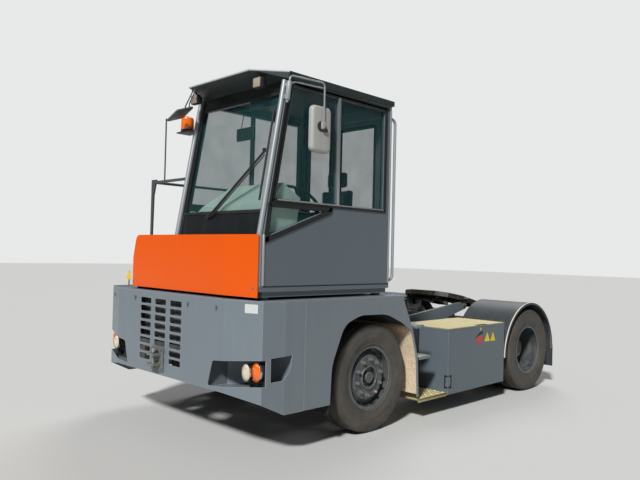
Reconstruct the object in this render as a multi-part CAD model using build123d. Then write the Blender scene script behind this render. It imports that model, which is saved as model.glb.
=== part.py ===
from build123d import *
import math
import os

# Terminal tractor, in millimetres. +X is the vehicle's left, -Y its front, Z = 0 the ground.
# The origin is on the ground, midway between the foremost and rearmost points.

# Vehicle
coupling_reach = 90    # tow jaw ahead of the front shell
front_overhang = 1500  # front shell to front axle
wheelbase = 3000
rear_overhang = 800
overall_width = 2500
fit = 0.3              # seat of one piece on another
pin_fit = 0.1          # pin in its running bore
weld = 1               # how far a welded piece reaches into its neighbour
clear = 10             # how far a cutting tool passes the piece

overall_length = coupling_reach + front_overhang + wheelbase + rear_overhang
front_y = -overall_length / 2 + coupling_reach
rear_y = overall_length / 2
axle1_y = front_y + front_overhang
axle2_y = axle1_y + wheelbase
half_width = overall_width / 2

# Chassis rails and shell plate, which most pieces sit on
rail_outer = 442
rail_width = 80
rail_bottom = 600
rail_top = 820
rail_inner = rail_outer - rail_width
plate = 8
shell_top = 1276


def block(x, y, z):
    """Box between pairs of limits."""
    size = (x[1] - x[0], y[1] - y[0], z[1] - z[0])
    middle = ((x[0] + x[1]) / 2, (y[0] + y[1]) / 2, (z[0] + z[1]) / 2)
    return Pos(*middle) * Box(*size)


def bar(start, end, radius):
    """Round bar between two points."""
    line = Vector(*end) - Vector(*start)
    plane = Plane(origin=Vector(*start), z_dir=line)
    return extrude(plane * Circle(radius), line.length)


def across(face, x0, x1):
    """Section in (Y, Z), run along X."""
    return extrude(Plane.YZ.offset(x0) * face, x1 - x0, dir=(1, 0, 0))


def upright(face, z0, z1):
    """Section in (X, Y), run along Z."""
    return extrude(Plane.XY.offset(z0) * face, z1 - z0, dir=(0, 0, 1))


def along_y(face, y0, y1):
    """Section in (X, Z), run along Y."""
    return extrude(Plane.XZ.offset(-y0) * face, y1 - y0, dir=(0, 1, 0))


def outline(points):
    return Polygon(*points, align=None)


def outline_box(x, y):
    return outline([(x[0], y[0]), (x[1], y[0]), (x[1], y[1]), (x[0], y[1])])


def rounded(corners):
    """Closed outline from rows of (a, b, corner radius)."""
    points = [(a, b) for a, b, radius in corners]
    return make_face(FilletPolyline(*points, radius=[radius for a, b, radius in corners], close=True))


def tube(points, bend_radius, radius):
    """Round tube along straight runs joined by bends."""
    path = FilletPolyline(*points, radius=bend_radius)
    start = Plane(origin=path @ 0, z_dir=path % 0)
    return sweep(start * Circle(radius), path=path)


def twin(part):
    """The same piece on both sides of the vehicle."""
    return [part, mirror(part, about=Plane.YZ)]


parts = {}


# Chassis frame: two box rails and the members between them
member_length = 80
member_depth = 70
head_member_length = 130
mount_inset = 60
cross_ahead = 300
tail_beam_half = 1000
tail_beam_depth = 40
tail_beam_z = (640, 760)


def make_frame():
    rail_y = (front_y + plate, rear_y - tail_beam_depth)
    rail = block((rail_inner, rail_outer), rail_y, (rail_bottom, rail_top))
    parts["frame_rails"] = twin(rail)
    upper = (rail_top - member_depth, rail_top)
    under_engine = (rail_bottom, engine_bottom)
    # rows of (first y, length, height)
    members = [
        (front_y + plate, head_member_length, upper),
        (engine_y[0] + mount_inset, member_length, under_engine),
        (engine_y[1] - mount_inset - member_length, member_length, under_engine),
        (gearbox_y[1] + mount_inset, member_length, upper),
        (axle2_y - cross_ahead, member_length, upper),
    ]
    beams = [block((-rail_inner, rail_inner), (y, y + length), height) for y, length, height in members]
    tail = block((-tail_beam_half, tail_beam_half), (rear_y - tail_beam_depth, rear_y), tail_beam_z)
    parts["frame_crossmembers"] = beams + [tail]


# Engine, gearbox with its propeller shaft, and radiator
engine_x = (-340, 240)
engine_y = (axle1_y - 1130, axle1_y - 30)
engine_bottom = 640
engine_top = 1240
gearbox_x = (-200, 100)
gearbox_length = 530
gearbox_y = (engine_y[1], engine_y[1] + gearbox_length)
gearbox_z = (650, 1000)
radiator_x = (-450, 270)
radiator_back = 50
radiator_depth = 70
radiator_top = 1225
shaft_r = 45
shaft_rise = 60
shaft_seat = 20


def propeller_shaft():
    middle = (gearbox_x[0] + gearbox_x[1]) / 2
    start = (middle, gearbox_y[1] - shaft_seat, gearbox_z[0] + shaft_rise)
    end = (0, axle2_y - diff_r + shaft_seat, hub_z + pinion_rise)
    return bar(start, end, shaft_r)


def make_driveline():
    parts["engine"] = block(engine_x, engine_y, (engine_bottom, engine_top))
    radiator_y = front_y + plate + radiator_back
    parts["radiator"] = block(radiator_x, (radiator_y, radiator_y + radiator_depth), (rail_top, radiator_top))
    parts["gearbox"] = block(gearbox_x, gearbox_y, gearbox_z) + propeller_shaft()


# Rear axle, bolted to the rails
axle_tube_r = 65
diff_r = 190
diff_half = 150
pinion_r = 80
pinion_reach = 40
pinion_rise = 20
saddle_length = 160


def make_rear_axle():
    casing = bar((-rear_hub_half, axle2_y, hub_z), (rear_hub_half, axle2_y, hub_z), axle_tube_r)
    casing += bar((-diff_half, axle2_y, hub_z), (diff_half, axle2_y, hub_z), diff_r)
    nose_z = hub_z + pinion_rise
    casing += bar((0, axle2_y, nose_z), (0, axle2_y - diff_r - pinion_reach, nose_z), pinion_r)
    saddle = block(
        (rail_inner, rail_outer),
        (axle2_y - saddle_length / 2, axle2_y + saddle_length / 2),
        (hub_z, rail_bottom),
    )
    for piece in twin(saddle):
        casing += piece
    parts["rear_axle"] = casing - propeller_shaft()


# Front axle with its springs, knuckles and track rod
kingpin_half = 900
kingpin_r = 20
boss_r = 42
boss_height = 106
lug_height = 40
lug_gap = 0.5
beam_half_depth = 55
beam_end = 90
beam_z = (400, 470)
neck_root = 160
neck_end = 10
neck_gap = 6
neck_t = 44
knuckle_plate_gap = 6
knuckle_plate_t = 20
steer_arm_length = 170
steer_arm_half = 25
steer_arm_t = 25
rod_r = 18
rod_z = 395
rod_eye_r = 32
rod_pin_r = 12
rod_pin_reach = 8
spring_half = 520
spring_seat_half = 60
spring_eye_r = 22
leaf_t = 14
pack_t = 75


def boss_limits():
    middle = tyre_r
    return middle - boss_height / 2, middle + boss_height / 2


def make_front_axle():
    low, high = boss_limits()
    depth = (axle1_y - beam_half_depth, axle1_y + beam_half_depth)
    beam = block((-kingpin_half + beam_end, kingpin_half - beam_end), depth, beam_z)
    for side in (1, -1):
        x = side * kingpin_half
        beam += bar((x, axle1_y, low), (x, axle1_y, high), boss_r)
        neck = sorted((side * (kingpin_half - neck_root), side * (kingpin_half - neck_end)))
        beam += block(neck, (axle1_y - boss_r, axle1_y + boss_r), (low + neck_gap, low + neck_gap + neck_t))
        beam -= bar((x, axle1_y, low - clear), (x, axle1_y, high + clear), kingpin_r + pin_fit)
    parts["front_axle"] = beam


def make_front_springs():
    eye_z = rail_bottom - spring_eye_r
    profile = outline([
        (-spring_half, eye_z + leaf_t / 2),
        (-spring_half, eye_z - leaf_t / 2),
        (-spring_seat_half, beam_z[1]),
        (spring_seat_half, beam_z[1]),
        (spring_half, eye_z - leaf_t / 2),
        (spring_half, eye_z + leaf_t / 2),
        (spring_seat_half, beam_z[1] + pack_t),
        (-spring_seat_half, beam_z[1] + pack_t),
    ])
    spring = across(Pos(axle1_y, 0) * profile, rail_inner, rail_outer)
    for end in (-1, 1):
        y = axle1_y + end * spring_half
        spring += bar((rail_inner, y, eye_z), (rail_outer, y, eye_z), spring_eye_r)
    parts["front_springs"] = twin(spring)


def make_knuckles():
    boss = boss_limits()
    low = boss[0] - lug_gap
    high = boss[1] + lug_gap
    x = kingpin_half
    depth = (axle1_y - boss_r, axle1_y + boss_r)
    knuckle = bar((x, axle1_y, low - lug_height), (x, axle1_y, high + lug_height), kingpin_r)
    plate_x = x + boss_r + knuckle_plate_gap
    for z in ((low - lug_height, low), (high, high + lug_height)):
        knuckle += bar((x, axle1_y, z[0]), (x, axle1_y, z[1]), boss_r)
        knuckle += block((x, plate_x + knuckle_plate_t), depth, z)
    knuckle += block((plate_x, plate_x + knuckle_plate_t), depth, (low - lug_height, high + lug_height))
    knuckle += bar((plate_x, axle1_y, hub_z), (front_spindle_half, axle1_y, hub_z), spindle_r)
    arm_z = (low - lug_height, low - lug_height + steer_arm_t)
    y = axle1_y + steer_arm_length
    knuckle += block((x - steer_arm_half, x + steer_arm_half), (axle1_y, y), arm_z)
    knuckle += bar((x, y, arm_z[0]), (x, y, arm_z[1]), rod_eye_r)
    pin_low = rod_z - rod_r - rod_pin_reach
    knuckle += bar((x, y, pin_low), (x, y, arm_z[1]), rod_pin_r)
    parts["knuckle_left"] = knuckle
    parts["knuckle_right"] = mirror(knuckle, about=Plane.YZ)

    rod = bar((-x, y, rod_z), (x, y, rod_z), rod_r)
    eye_top = arm_z[0] - lug_gap
    for end in (-x, x):
        rod += bar((end, y, rod_z - rod_r), (end, y, eye_top), rod_eye_r)
        rod -= bar((end, y, pin_low - clear), (end, y, eye_top + clear), rod_pin_r + pin_fit)
    parts["track_rod"] = rod


# Wheels, in half sections of (x, radius)
tyre_r = 508
tyre_width = 280
rim_r = 286
flange_r = 298
front_track_half = 1040
rear_outer_half = 1095
dual_spacing = 345
hub_z = tyre_r
bead_inset = 37
crown_inset = 14
sidewall_round = 60
shoulder_round = 40
rim_inset = 28
rim_lip = 4
rim_wall = 9
spindle_r = 40
front_spindle_half = 1130
rear_hub_half = 1010
drum_radii = (184, 196)
drum_in = 60
dish_t = 14
bolt_face = 88
bolt_radii = (110, 200)
dish_root = (34, 262)
hand_hole_count = 20
hand_hole_r = 17
hand_hole_ring = 255
web_face = 40
front_hub_r = 95
cap_r = 50
cap_face = 104
rear_disc_t = 28
rear_hub_r = 105
rear_cap_out = 60
end_gap = 1


def tyre_at(x):
    half = tyre_width / 2
    bead = half - bead_inset
    middle_r = (rim_r + tyre_r) / 2
    section = rounded([
        (-bead, rim_r + fit, 0),
        (bead, rim_r + fit, 0),
        (half, middle_r, sidewall_round),
        (half - crown_inset, tyre_r, shoulder_round),
        (-half + crown_inset, tyre_r, shoulder_round),
        (-half, middle_r, sidewall_round),
    ])
    return Pos(x, 0, 0) * revolve(section, Axis.X)


def barrel(x):
    """Rim well with its two flanges."""
    half = tyre_width / 2 - rim_inset
    section = outline([
        (-half, rim_r - rim_wall),
        (half, rim_r - rim_wall),
        (half, flange_r),
        (half - rim_lip, flange_r),
        (half - rim_lip, rim_r),
        (-half + rim_lip, rim_r),
        (-half + rim_lip, flange_r),
        (-half, flange_r),
    ])
    return Pos(x, 0, 0) * revolve(section, Axis.X)


def ring(x0, x1, inner, outer):
    return revolve(outline([(x0, inner), (x1, inner), (x1, outer), (x0, outer)]), Axis.X)


def front_rim(x):
    """Domed disc with hand holes, its bolting face outwards, and the hub inside it."""
    well_r = rim_r - rim_wall + weld
    back = dish_root[0] - dish_t
    dish = revolve(outline([
        (bolt_face - dish_t, bolt_radii[0]),
        (bolt_face, bolt_radii[0]),
        (bolt_face, bolt_radii[1]),
        dish_root,
        (dish_root[0], well_r),
        (back, well_r),
        (back, dish_root[1] - dish_t / 2),
        (bolt_face - dish_t, bolt_radii[1] - dish_t / 2),
    ]), Axis.X)
    for index in range(hand_hole_count):
        angle = math.radians(360 / hand_hole_count * index)
        y = hand_hole_ring * math.cos(angle)
        z = hand_hole_ring * math.sin(angle)
        dish -= bar((-clear, y, z), (bolt_face + clear, y, z), hand_hole_r)
    bore = spindle_r + pin_fit
    hub = ring(-drum_in, bolt_face - dish_t / 2, *drum_radii)
    hub += ring(-drum_in, web_face, bore, front_hub_r)
    hub += ring(web_face - dish_t, web_face, front_hub_r - weld, drum_radii[0] + weld)
    cap = ring(web_face - weld, cap_face, 0, cap_r)
    hub += cap - ring(web_face - 2 * weld, front_spindle_half - x + end_gap, 0, bore)
    return barrel(x) + Pos(x, 0, 0) * (dish + hub)


def rear_rims():
    outer = rear_outer_half
    inner = outer - dual_spacing
    middle = (outer + inner) / 2
    overlap = tyre_width / 2 - rim_inset - weld
    rims = barrel(outer) + barrel(inner)
    disc = (middle - rear_disc_t / 2, middle + rear_disc_t / 2)
    rims += ring(*disc, axle_tube_r + end_gap, rim_r - rim_wall + weld)
    rims += ring(inner + overlap, outer - overlap, rim_r - rim_wall, rim_r - weld)
    rims += ring(inner - drum_in, middle, *drum_radii)
    cap_out = rear_hub_half + rear_cap_out
    rims += ring(middle, cap_out, axle_tube_r + pin_fit, rear_hub_r)
    rims += ring(rear_hub_half + end_gap, cap_out, 0, axle_tube_r + weld)
    return rims


def make_wheels():
    front = Pos(0, axle1_y, hub_z)
    rear = Pos(0, axle2_y, hub_z)
    rim = front * front_rim(front_track_half)
    tyre = front * tyre_at(front_track_half)
    rims = rear * rear_rims()
    tyres = [rear * tyre_at(x) for x in (rear_outer_half, rear_outer_half - dual_spacing)]
    parts["rim_front_left"] = rim
    parts["rim_front_right"] = mirror(rim, about=Plane.YZ)
    parts["tyre_front_left"] = tyre
    parts["tyre_front_right"] = mirror(tyre, about=Plane.YZ)
    parts["rims_rear_left"] = rims
    parts["rims_rear_right"] = mirror(rims, about=Plane.YZ)
    parts["tyres_rear_left"] = tyres
    parts["tyres_rear_right"] = [mirror(piece, about=Plane.YZ) for piece in tyres]


# Front shell of steel plate: bumper, side panels, deck and mudguards
shell_nose_half = 877
shell_corner_half = half_width - 28
shell_corner_back = 115
shell_taper_back = 332
bumper_back = 550
shell_bottom_front = 525
skirt_bottom = 365
skirt_back = 360
grille_x = (-445, 255)
grille_z = (635, 1210)
grille_rows = 8
grille_columns = 3
slot_width = 190
slot_height = 54
slot_round = 16
# lamp opening in rows of (x, z, corner radius)
mouth_corners = [
    (shell_corner_half - 557, 552, 15),
    (shell_corner_half - 493, 765, 30),
    (half_width + clear, 818, 0),
    (half_width + clear, 612, 0),
]
mouth_back = 155
recess_back = 430
recess_wall = 6
recess_z = (530, 845)
recess_inner_x = shell_corner_half - 572
recess_corner = 200
# window behind the lamps in rows of (distance behind the front face, z)
side_window = [(200, 824), (412, 835), (389, 711), (316, 640), (201, 634)]


def shell_plan(back):
    """Plan of the front shell, nose to the given distance behind the front face."""
    half = [
        (half_width, front_y + back),
        (half_width, front_y + shell_taper_back),
        (shell_corner_half, front_y + shell_corner_back),
        (shell_nose_half, front_y),
    ]
    return outline(half + [(-x, y) for x, y in reversed(half)])


def nose_cut():
    """Space below the sloping lower edge of the shell."""
    slope = (shell_bottom_front - skirt_bottom) / shell_taper_back
    profile = outline([
        (front_y - clear, 0),
        (front_y + bumper_back + clear, 0),
        (front_y + bumper_back + clear, skirt_bottom),
        (front_y + shell_taper_back, skirt_bottom),
        (front_y - clear, shell_bottom_front + slope * clear),
    ])
    return across(profile, -half_width - clear, half_width + clear)


def grille_slots():
    pitch_x = (grille_x[1] - grille_x[0] - slot_width) / (grille_columns - 1)
    pitch_z = (grille_z[1] - grille_z[0] - slot_height) / (grille_rows - 1)
    slots = []
    for column in range(grille_columns):
        for row in range(grille_rows):
            x = grille_x[0] + slot_width / 2 + column * pitch_x
            z = grille_z[0] + slot_height / 2 + row * pitch_z
            slot = Pos(x, z) * RectangleRounded(slot_width, slot_height, slot_round)
            slots.append(along_y(slot, front_y - clear, front_y + plate + clear))
    return slots


def pocket_plan(inner_x, back_y):
    """Plan of the pocket, whose inner back corner is cut off at 45 degrees."""
    return outline([
        (inner_x, front_y - clear),
        (inner_x, back_y - recess_corner),
        (inner_x + recess_corner, back_y),
        (half_width + clear, back_y),
        (half_width + clear, front_y - clear),
    ])


def lamp_pocket():
    """Box of thin plate behind the lamp opening, open to the front and to the side window."""
    inside = offset(shell_plan(recess_back), weld - plate)
    outer = upright(inside & pocket_plan(recess_inner_x, front_y + recess_back), *recess_z)
    hollow_back = front_y + recess_back - recess_wall - plate
    hollow = upright(
        pocket_plan(recess_inner_x + recess_wall, hollow_back),
        recess_z[0] + recess_wall,
        recess_z[1] - recess_wall,
    )
    return outer - hollow


def make_bumper():
    deck_bottom = shell_top - plate
    shell = upright(shell_plan(bumper_back), skirt_bottom - clear, deck_bottom)
    inside = offset(shell_plan(bumper_back + 2 * plate), -plate)
    shell -= upright(inside, skirt_bottom - 2 * clear, deck_bottom + clear)
    for slot in grille_slots():
        shell -= slot
    mouth = along_y(rounded(mouth_corners), front_y - clear, front_y + mouth_back)
    window_face = outline([(front_y + back, z) for back, z in side_window])
    window = across(window_face, shell_corner_half - 2 * plate, half_width + clear)
    for side in (0, 1):
        shell -= twin(mouth)[side]
        shell -= twin(window)[side]
        shell += twin(lamp_pocket())[side]
    parts["front_bumper"] = shell - nose_cut()


# Wheel well of the front shell: rows of (y from the axle, z, corner radius)
well_corners = [
    (-645, 180, 0),
    (-622, 700, 400),
    (-470, 1040, 200),
    (-260, 1112, 400),
    (110, 1104, 400),
    (350, 1010, 300),
    (505, 915, 150),
    (585, 640, 400),
    (615, 180, 0),
]
# rear edge of the side panel, in the same rows
panel_corners = [
    (640, skirt_bottom - 110, 0),
    (616, 640, 300),
    (524, 930, 0),
    (385, 1200, 60),
]
mudguard_inner_x = 600
mudguard_t = 6
mudguard_bottom = 285


def make_side_panels():
    well = Pos(axle1_y, 0) * rounded(well_corners)
    deck_bottom = shell_top - plate
    panel = rounded(
        [(front_y + bumper_back, skirt_bottom, 0)]
        + [(axle1_y + y, z, radius) for y, z, radius in panel_corners]
        + [(axle1_y + skirt_back, deck_bottom, 0), (front_y + bumper_back, deck_bottom, 0)]
    )
    side = across(panel, half_width - plate, half_width)
    side -= across(well, half_width - plate - clear, half_width + clear)
    side -= block((half_width - plate - clear, half_width + clear), (front_y, axle1_y), (0, skirt_bottom))
    parts["side_panel_left"] = side
    parts["side_panel_right"] = mirror(side, about=Plane.YZ)
    guard = across(offset(well, mudguard_t) - well, mudguard_inner_x, half_width - plate)
    guard -= block((0, half_width), (front_y, axle2_y), (0, mudguard_bottom))
    parts["front_mudguards"] = twin(guard)
    parts["front_deck"] = upright(shell_plan(front_overhang + skirt_back), deck_bottom, shell_top)


# Tow coupling: a jaw with a drop pin, bolted on ahead of the shell
tow_x = -100
tow_z = 670
tow_base_half = 95
tow_base_z = (560, 785)
tow_base_t = 14
tow_jaw_half = 60
tow_jaw_t = 20
tow_mouth = 70
tow_pin_r = 17
tow_pin_in = 35
tow_pin_z = (590, 770)
tow_handle_half = 45
tow_handle_r = 8


def make_tow_coupling():
    back_y = front_y - fit
    base = (back_y - tow_base_t, back_y)
    jaw = block((tow_x - tow_base_half, tow_x + tow_base_half), base, tow_base_z)
    tip_y = front_y - coupling_reach
    for z in (tow_z + tow_mouth / 2, tow_z - tow_mouth / 2 - tow_jaw_t):
        jaw += block((tow_x - tow_jaw_half, tow_x + tow_jaw_half), (tip_y, back_y), (z, z + tow_jaw_t))
    pin_y = tip_y + tow_pin_in
    jaw += bar((tow_x, pin_y, tow_pin_z[0]), (tow_x, pin_y, tow_pin_z[1]), tow_pin_r)
    handle_z = tow_pin_z[1] - tow_handle_r
    handle = (tow_x - tow_handle_half, pin_y, handle_z)
    jaw += bar(handle, (tow_x + tow_handle_half, pin_y, handle_z), tow_handle_r)
    parts["tow_coupling"] = jaw


# Nose panel: a shallow moulding, open at the back, and the engine hood behind it
nose_x = (-735, 1178)
nose_z = (1300, 1800)
nose_y = front_y + 50
nose_left_y = front_y + 86
nose_depth = 70
nose_t = 6
nose_break_x = 780
nose_edge = 30
# right-hand end of the panel's face, in rows of (x, z, corner radius)
nose_end = [(nose_x[0] + 85, nose_z[1], 70), (nose_x[0], 1470, 300), (nose_x[0], nose_z[0], 0)]
hood_t = 4
hood_gap = 15
hood_top = 1790
hood_rear_gap = 60


def nose_plan(depth):
    return outline([
        (nose_x[0], nose_y + depth),
        (nose_x[0], nose_y + nose_edge),
        (nose_x[0] + nose_edge, nose_y),
        (nose_break_x, nose_y),
        (nose_x[1], nose_left_y),
        (nose_x[1], nose_y + depth),
    ])


def make_hood():
    face = rounded([(nose_x[1], nose_z[0], 0), (nose_x[1], nose_z[1], 0)] + nose_end)
    depth = (front_y, nose_y + 2 * nose_depth)
    skin = upright(nose_plan(nose_depth), *nose_z) & along_y(face, *depth)
    hollow = upright(offset(nose_plan(nose_depth + 4 * nose_t), -nose_t), *nose_z)
    skin -= hollow & along_y(offset(face, -nose_t), *depth)
    cab_side = (cab_right - clear, nose_x[1] + clear)
    skin -= block(cab_side, (nose_left_y + nose_t, depth[1]), (nose_z[0] - clear, nose_z[1] + clear))
    parts["nose_panel"] = skin
    hood_x = (nose_x[0], cab_right - hood_gap)
    hood_y = (nose_y + nose_depth, cab_rear_y - hood_rear_gap)
    hood = block(hood_x, hood_y, (shell_top, hood_top))
    hood -= block(
        (hood_x[0] + hood_t, hood_x[1] - hood_t),
        (hood_y[0] - clear, hood_y[1] - hood_t),
        (shell_top - clear, hood_top - hood_t),
    )
    parts["engine_hood"] = hood


# Cab: floor, four walls round their windows, and the tubes at the front corners
cab_left = 1170
cab_right = -55
cab_front_y = axle1_y - 1360
cab_kink_z = 1800
cab_lean = 227
cab_top_z = 3080
cab_rear_y = axle1_y + 220
cab_floor_z = 1345
cab_floor_t = 40
cab_base_z = 1300
cab_base_inset = 20
cab_wall = 40
roof_fall = 20
foot_r = 45
foot_in = 90
pillar_r = 22
pillar_bend = 40
pillar_top_gap = 12
pillar_off = 0.7
cab_inner = (cab_right + cab_wall, cab_left - cab_wall)
cab_top_y = cab_front_y + cab_lean
cab_floor_top = cab_floor_z + cab_floor_t
cab_rear_z = cab_top_z + roof_fall

# Cab windows and door
glass_t = 6
stile = 32
screen_z = (2000, cab_top_z - 120)
sill_z = 2090
window_front = 1240
window_rear = 120
mullion_y = -520
mullion = 24
window_head = 45
# front quarter light in rows of (y from the front axle, z)
low_window = [(-1290, 2030), (-667, 2030), (-1316, 1790)]
door_x = (430, 1070)
door_z = (1405, cab_top_z - 75)
door_gap = 5
door_frame = 70
door_light_z = (sill_z, cab_top_z - 150)
rear_window_x = (40, 390)
handle_z = 1900
handle_in = 45
handle_out = 30
handle_length = 100
handle_r = 9
hinge_r = 9
hinge_out = 12
hinge_leaf = 40
hinge_leaf_t = 6
hinge_length = 50
hinge_heights = (door_z[0] + 95, sill_z + 60, cab_top_z - 300)
hinge_x = door_x[0] + door_gap / 2


def lean(z):
    """How far the windscreen plane leans back at a height."""
    return cab_lean * (z - cab_kink_z) / (cab_top_z - cab_kink_z)


def side_openings():
    """Two sliding panes and the front quarter light, as outlines in (Y, Z)."""
    head = cab_top_z - window_head
    front = outline([
        (-window_front, sill_z),
        (mullion_y - mullion / 2, sill_z),
        (mullion_y - mullion / 2, head),
        (lean(head) - lean(sill_z) - window_front, head),
    ])
    rear = outline_box((mullion_y + mullion / 2, window_rear), (sill_z, head))
    return [Pos(axle1_y, 0) * face for face in (front, rear, outline(low_window))]


def make_cab_floor():
    front = cab_front_y - 2 * pillar_r - pillar_off
    floor = block((cab_right, cab_left), (front, cab_rear_y), (cab_floor_z, cab_floor_top))
    floor += block(
        (cab_right + cab_base_inset, cab_left - cab_base_inset),
        (cab_front_y + cab_base_inset, cab_rear_y - cab_base_inset),
        (cab_base_z, cab_floor_z),
    )
    for x in (cab_right + foot_in, cab_left - foot_in):
        for y in (cab_front_y + foot_in, cab_rear_y - foot_in):
            floor += bar((x, y, shell_top), (x, y, cab_base_z), foot_r)
    parts["cab_floor"] = floor


def make_cab_sides():
    """Side walls. Returns the side panes."""
    face = outline([
        (cab_front_y, cab_floor_top),
        (cab_front_y, cab_kink_z),
        (cab_top_y, cab_top_z),
        (cab_rear_y, cab_rear_z),
        (cab_rear_y, cab_floor_top),
    ])
    panes = []
    for name, x0 in (("cab_left_wall", cab_inner[1]), ("cab_right_wall", cab_right)):
        wall = across(face, x0, x0 + cab_wall)
        middle = x0 + cab_wall / 2
        for opening in side_openings():
            wall -= across(opening, x0 - clear, x0 + cab_wall + clear)
            panes.append(across(offset(opening, -fit), middle - glass_t / 2, middle + glass_t / 2))
        parts[name] = wall
    return panes


def make_cab_front():
    """Front frame. Returns the windscreen."""
    front = across(outline([
        (cab_front_y, cab_floor_top),
        (cab_front_y, cab_kink_z),
        (cab_top_y, cab_top_z),
        (cab_top_y + cab_wall, cab_top_z),
        (cab_front_y + cab_wall, cab_kink_z),
        (cab_front_y + cab_wall, cab_floor_top),
    ]), *cab_inner)
    opening = (cab_inner[0] + stile, cab_inner[1] - stile)
    front -= block(opening, (cab_front_y, cab_top_y + 2 * cab_wall), screen_z)
    parts["cab_front_frame"] = front
    glass_y = cab_front_y + (cab_wall - glass_t) / 2
    low = screen_z[0] + fit
    high = screen_z[1] - fit
    screen = outline([
        (glass_y + lean(low), low),
        (glass_y + lean(high), high),
        (glass_y + lean(high) + glass_t, high),
        (glass_y + lean(low) + glass_t, low),
    ])
    return across(screen, opening[0] + fit, opening[1] - fit)


def make_cab_rear():
    """Rear wall and its door. Returns the rear pane."""
    thickness = (cab_rear_y - cab_wall, cab_rear_y)
    through = (thickness[0] - clear, thickness[1] + clear)
    middle = (thickness[0] + (cab_wall - glass_t) / 2, thickness[0] + (cab_wall + glass_t) / 2)
    roof_slope = roof_fall / (cab_rear_y - cab_top_y)
    rear = across(outline([
        (thickness[0], cab_floor_top),
        (thickness[1], cab_floor_top),
        (thickness[1], cab_rear_z),
        (thickness[0], cab_rear_z - roof_slope * cab_wall),
    ]), *cab_inner)
    rear -= block(door_x, through, door_z)
    rear -= block(rear_window_x, through, door_light_z)
    side = (door_x[0] + door_gap, door_x[1] - door_gap)
    light_x = (side[0] + door_frame, side[1] - door_frame)
    door = block(side, thickness, (door_z[0] + door_gap, door_z[1] - door_gap))
    door -= block(light_x, through, door_light_z)
    grip_x = side[1] - handle_in
    grip_y = cab_rear_y + handle_out
    door += bar((grip_x, cab_rear_y - weld, handle_z), (grip_x, grip_y, handle_z), handle_r)
    door += bar((grip_x - handle_length, grip_y, handle_z), (grip_x + handle_r, grip_y, handle_z), handle_r)
    hinge_y = cab_rear_y + hinge_out
    leaf_y = (cab_rear_y - weld, cab_rear_y + hinge_leaf_t)
    for z in hinge_heights:
        rear += bar((hinge_x, hinge_y, z), (hinge_x, hinge_y, z + hinge_length), hinge_r)
        rear += block((hinge_x - hinge_leaf, hinge_x), leaf_y, (z, z + hinge_length))
        upper = z + hinge_length + fit
        door += bar((hinge_x, hinge_y, upper), (hinge_x, hinge_y, upper + hinge_length), hinge_r)
        leaf = block((side[0], hinge_x + hinge_leaf), leaf_y, (upper, upper + hinge_length))
        door += leaf + block((hinge_x, side[0]), (cab_rear_y + fit, leaf_y[1]), (upper, upper + hinge_length))
    parts["cab_rear_wall"] = rear
    parts["cab_door"] = door
    parts["door_window"] = block(
        (light_x[0] + fit, light_x[1] - fit), middle, (door_light_z[0] + fit, door_light_z[1] - fit)
    )
    pane_x = (rear_window_x[0] + fit, rear_window_x[1] - fit)
    return block(pane_x, middle, (door_light_z[0] + fit, door_light_z[1] - fit))


def make_cab():
    make_cab_floor()
    panes = make_cab_sides()
    panes.append(make_cab_front())
    panes.append(make_cab_rear())
    parts["cab_glass"] = panes
    tubes = []
    y = cab_front_y - pillar_r - pillar_off
    for x in (cab_left - pillar_r, cab_right + pillar_r):
        tubes.append(tube([
            (x, y, cab_floor_top + fit),
            (x, y, cab_kink_z),
            (x, y + lean(cab_top_z - pillar_top_gap), cab_top_z - pillar_top_gap),
        ], pillar_bend, pillar_r))
    parts["cab_pillars"] = tubes


# Cab roof: a shallow lid with a front visor whose corners are cut off
roof_over = 12
roof_rear_over = 25
roof_t = 70
visor_y = axle1_y - 1386
visor_corner_back = 250
visor_corner_left = 214
visor_corner_right = 168
visor_rise = 0.25


def visor_under(y):
    """Height of the visor's underside."""
    return cab_top_z + visor_rise * (cab_top_y - y)


def make_roof():
    left = cab_left + roof_over
    right = cab_right - roof_over
    rear = cab_rear_y + roof_rear_over
    plan = outline([
        (right, rear),
        (right, visor_y + visor_corner_back),
        (right + visor_corner_right, visor_y),
        (left - visor_corner_left, visor_y),
        (left, visor_y + visor_corner_back),
        (left, rear),
    ])
    slab = upright(plan, cab_top_z - roof_t, cab_top_z + roof_t)
    low = cab_top_z - 2 * roof_t
    roof_slope = roof_fall / (cab_rear_y - cab_top_y)
    ahead = visor_y - clear
    behind = rear + clear
    below = across(outline([
        (ahead, low),
        (ahead, visor_under(ahead)),
        (cab_top_y, cab_top_z),
        (behind, cab_top_z + roof_slope * (behind - cab_top_y)),
        (behind, low),
    ]), right - clear, left + clear)
    parts["cab_roof"] = slab - below


# Seat, dashboard and steering wheel
seat_x = (480, 920)
seat_y = (axle1_y - 500, axle1_y - 30)
seat_base_inset = 50
seat_base_top = 1750
cushion_t = 110
back_t = 110
back_top = 2480
back_overlap = 50
wheel_centre = (700, axle1_y - 550, 2150)
wheel_tilt = 35
wheel_r = 205
wheel_rim_r = 14
wheel_hub_r = 36
wheel_hub = (-60, 12)
wheel_spoke_r = 10
wheel_spoke_angles = (90, 210, 330)
column_r = 38
column_length = 880
# dashboard sections in rows of (y from the front axle, z), then of (x, z)
dash_profile = [(-1130, 2235), (-930, 2120), (-960, 1950), (-1010, 1600)]
dash_low_y = axle1_y - 1010
dash_face = [(130, 2000), (440, 2235)]
dash_low_z = 1960


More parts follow.
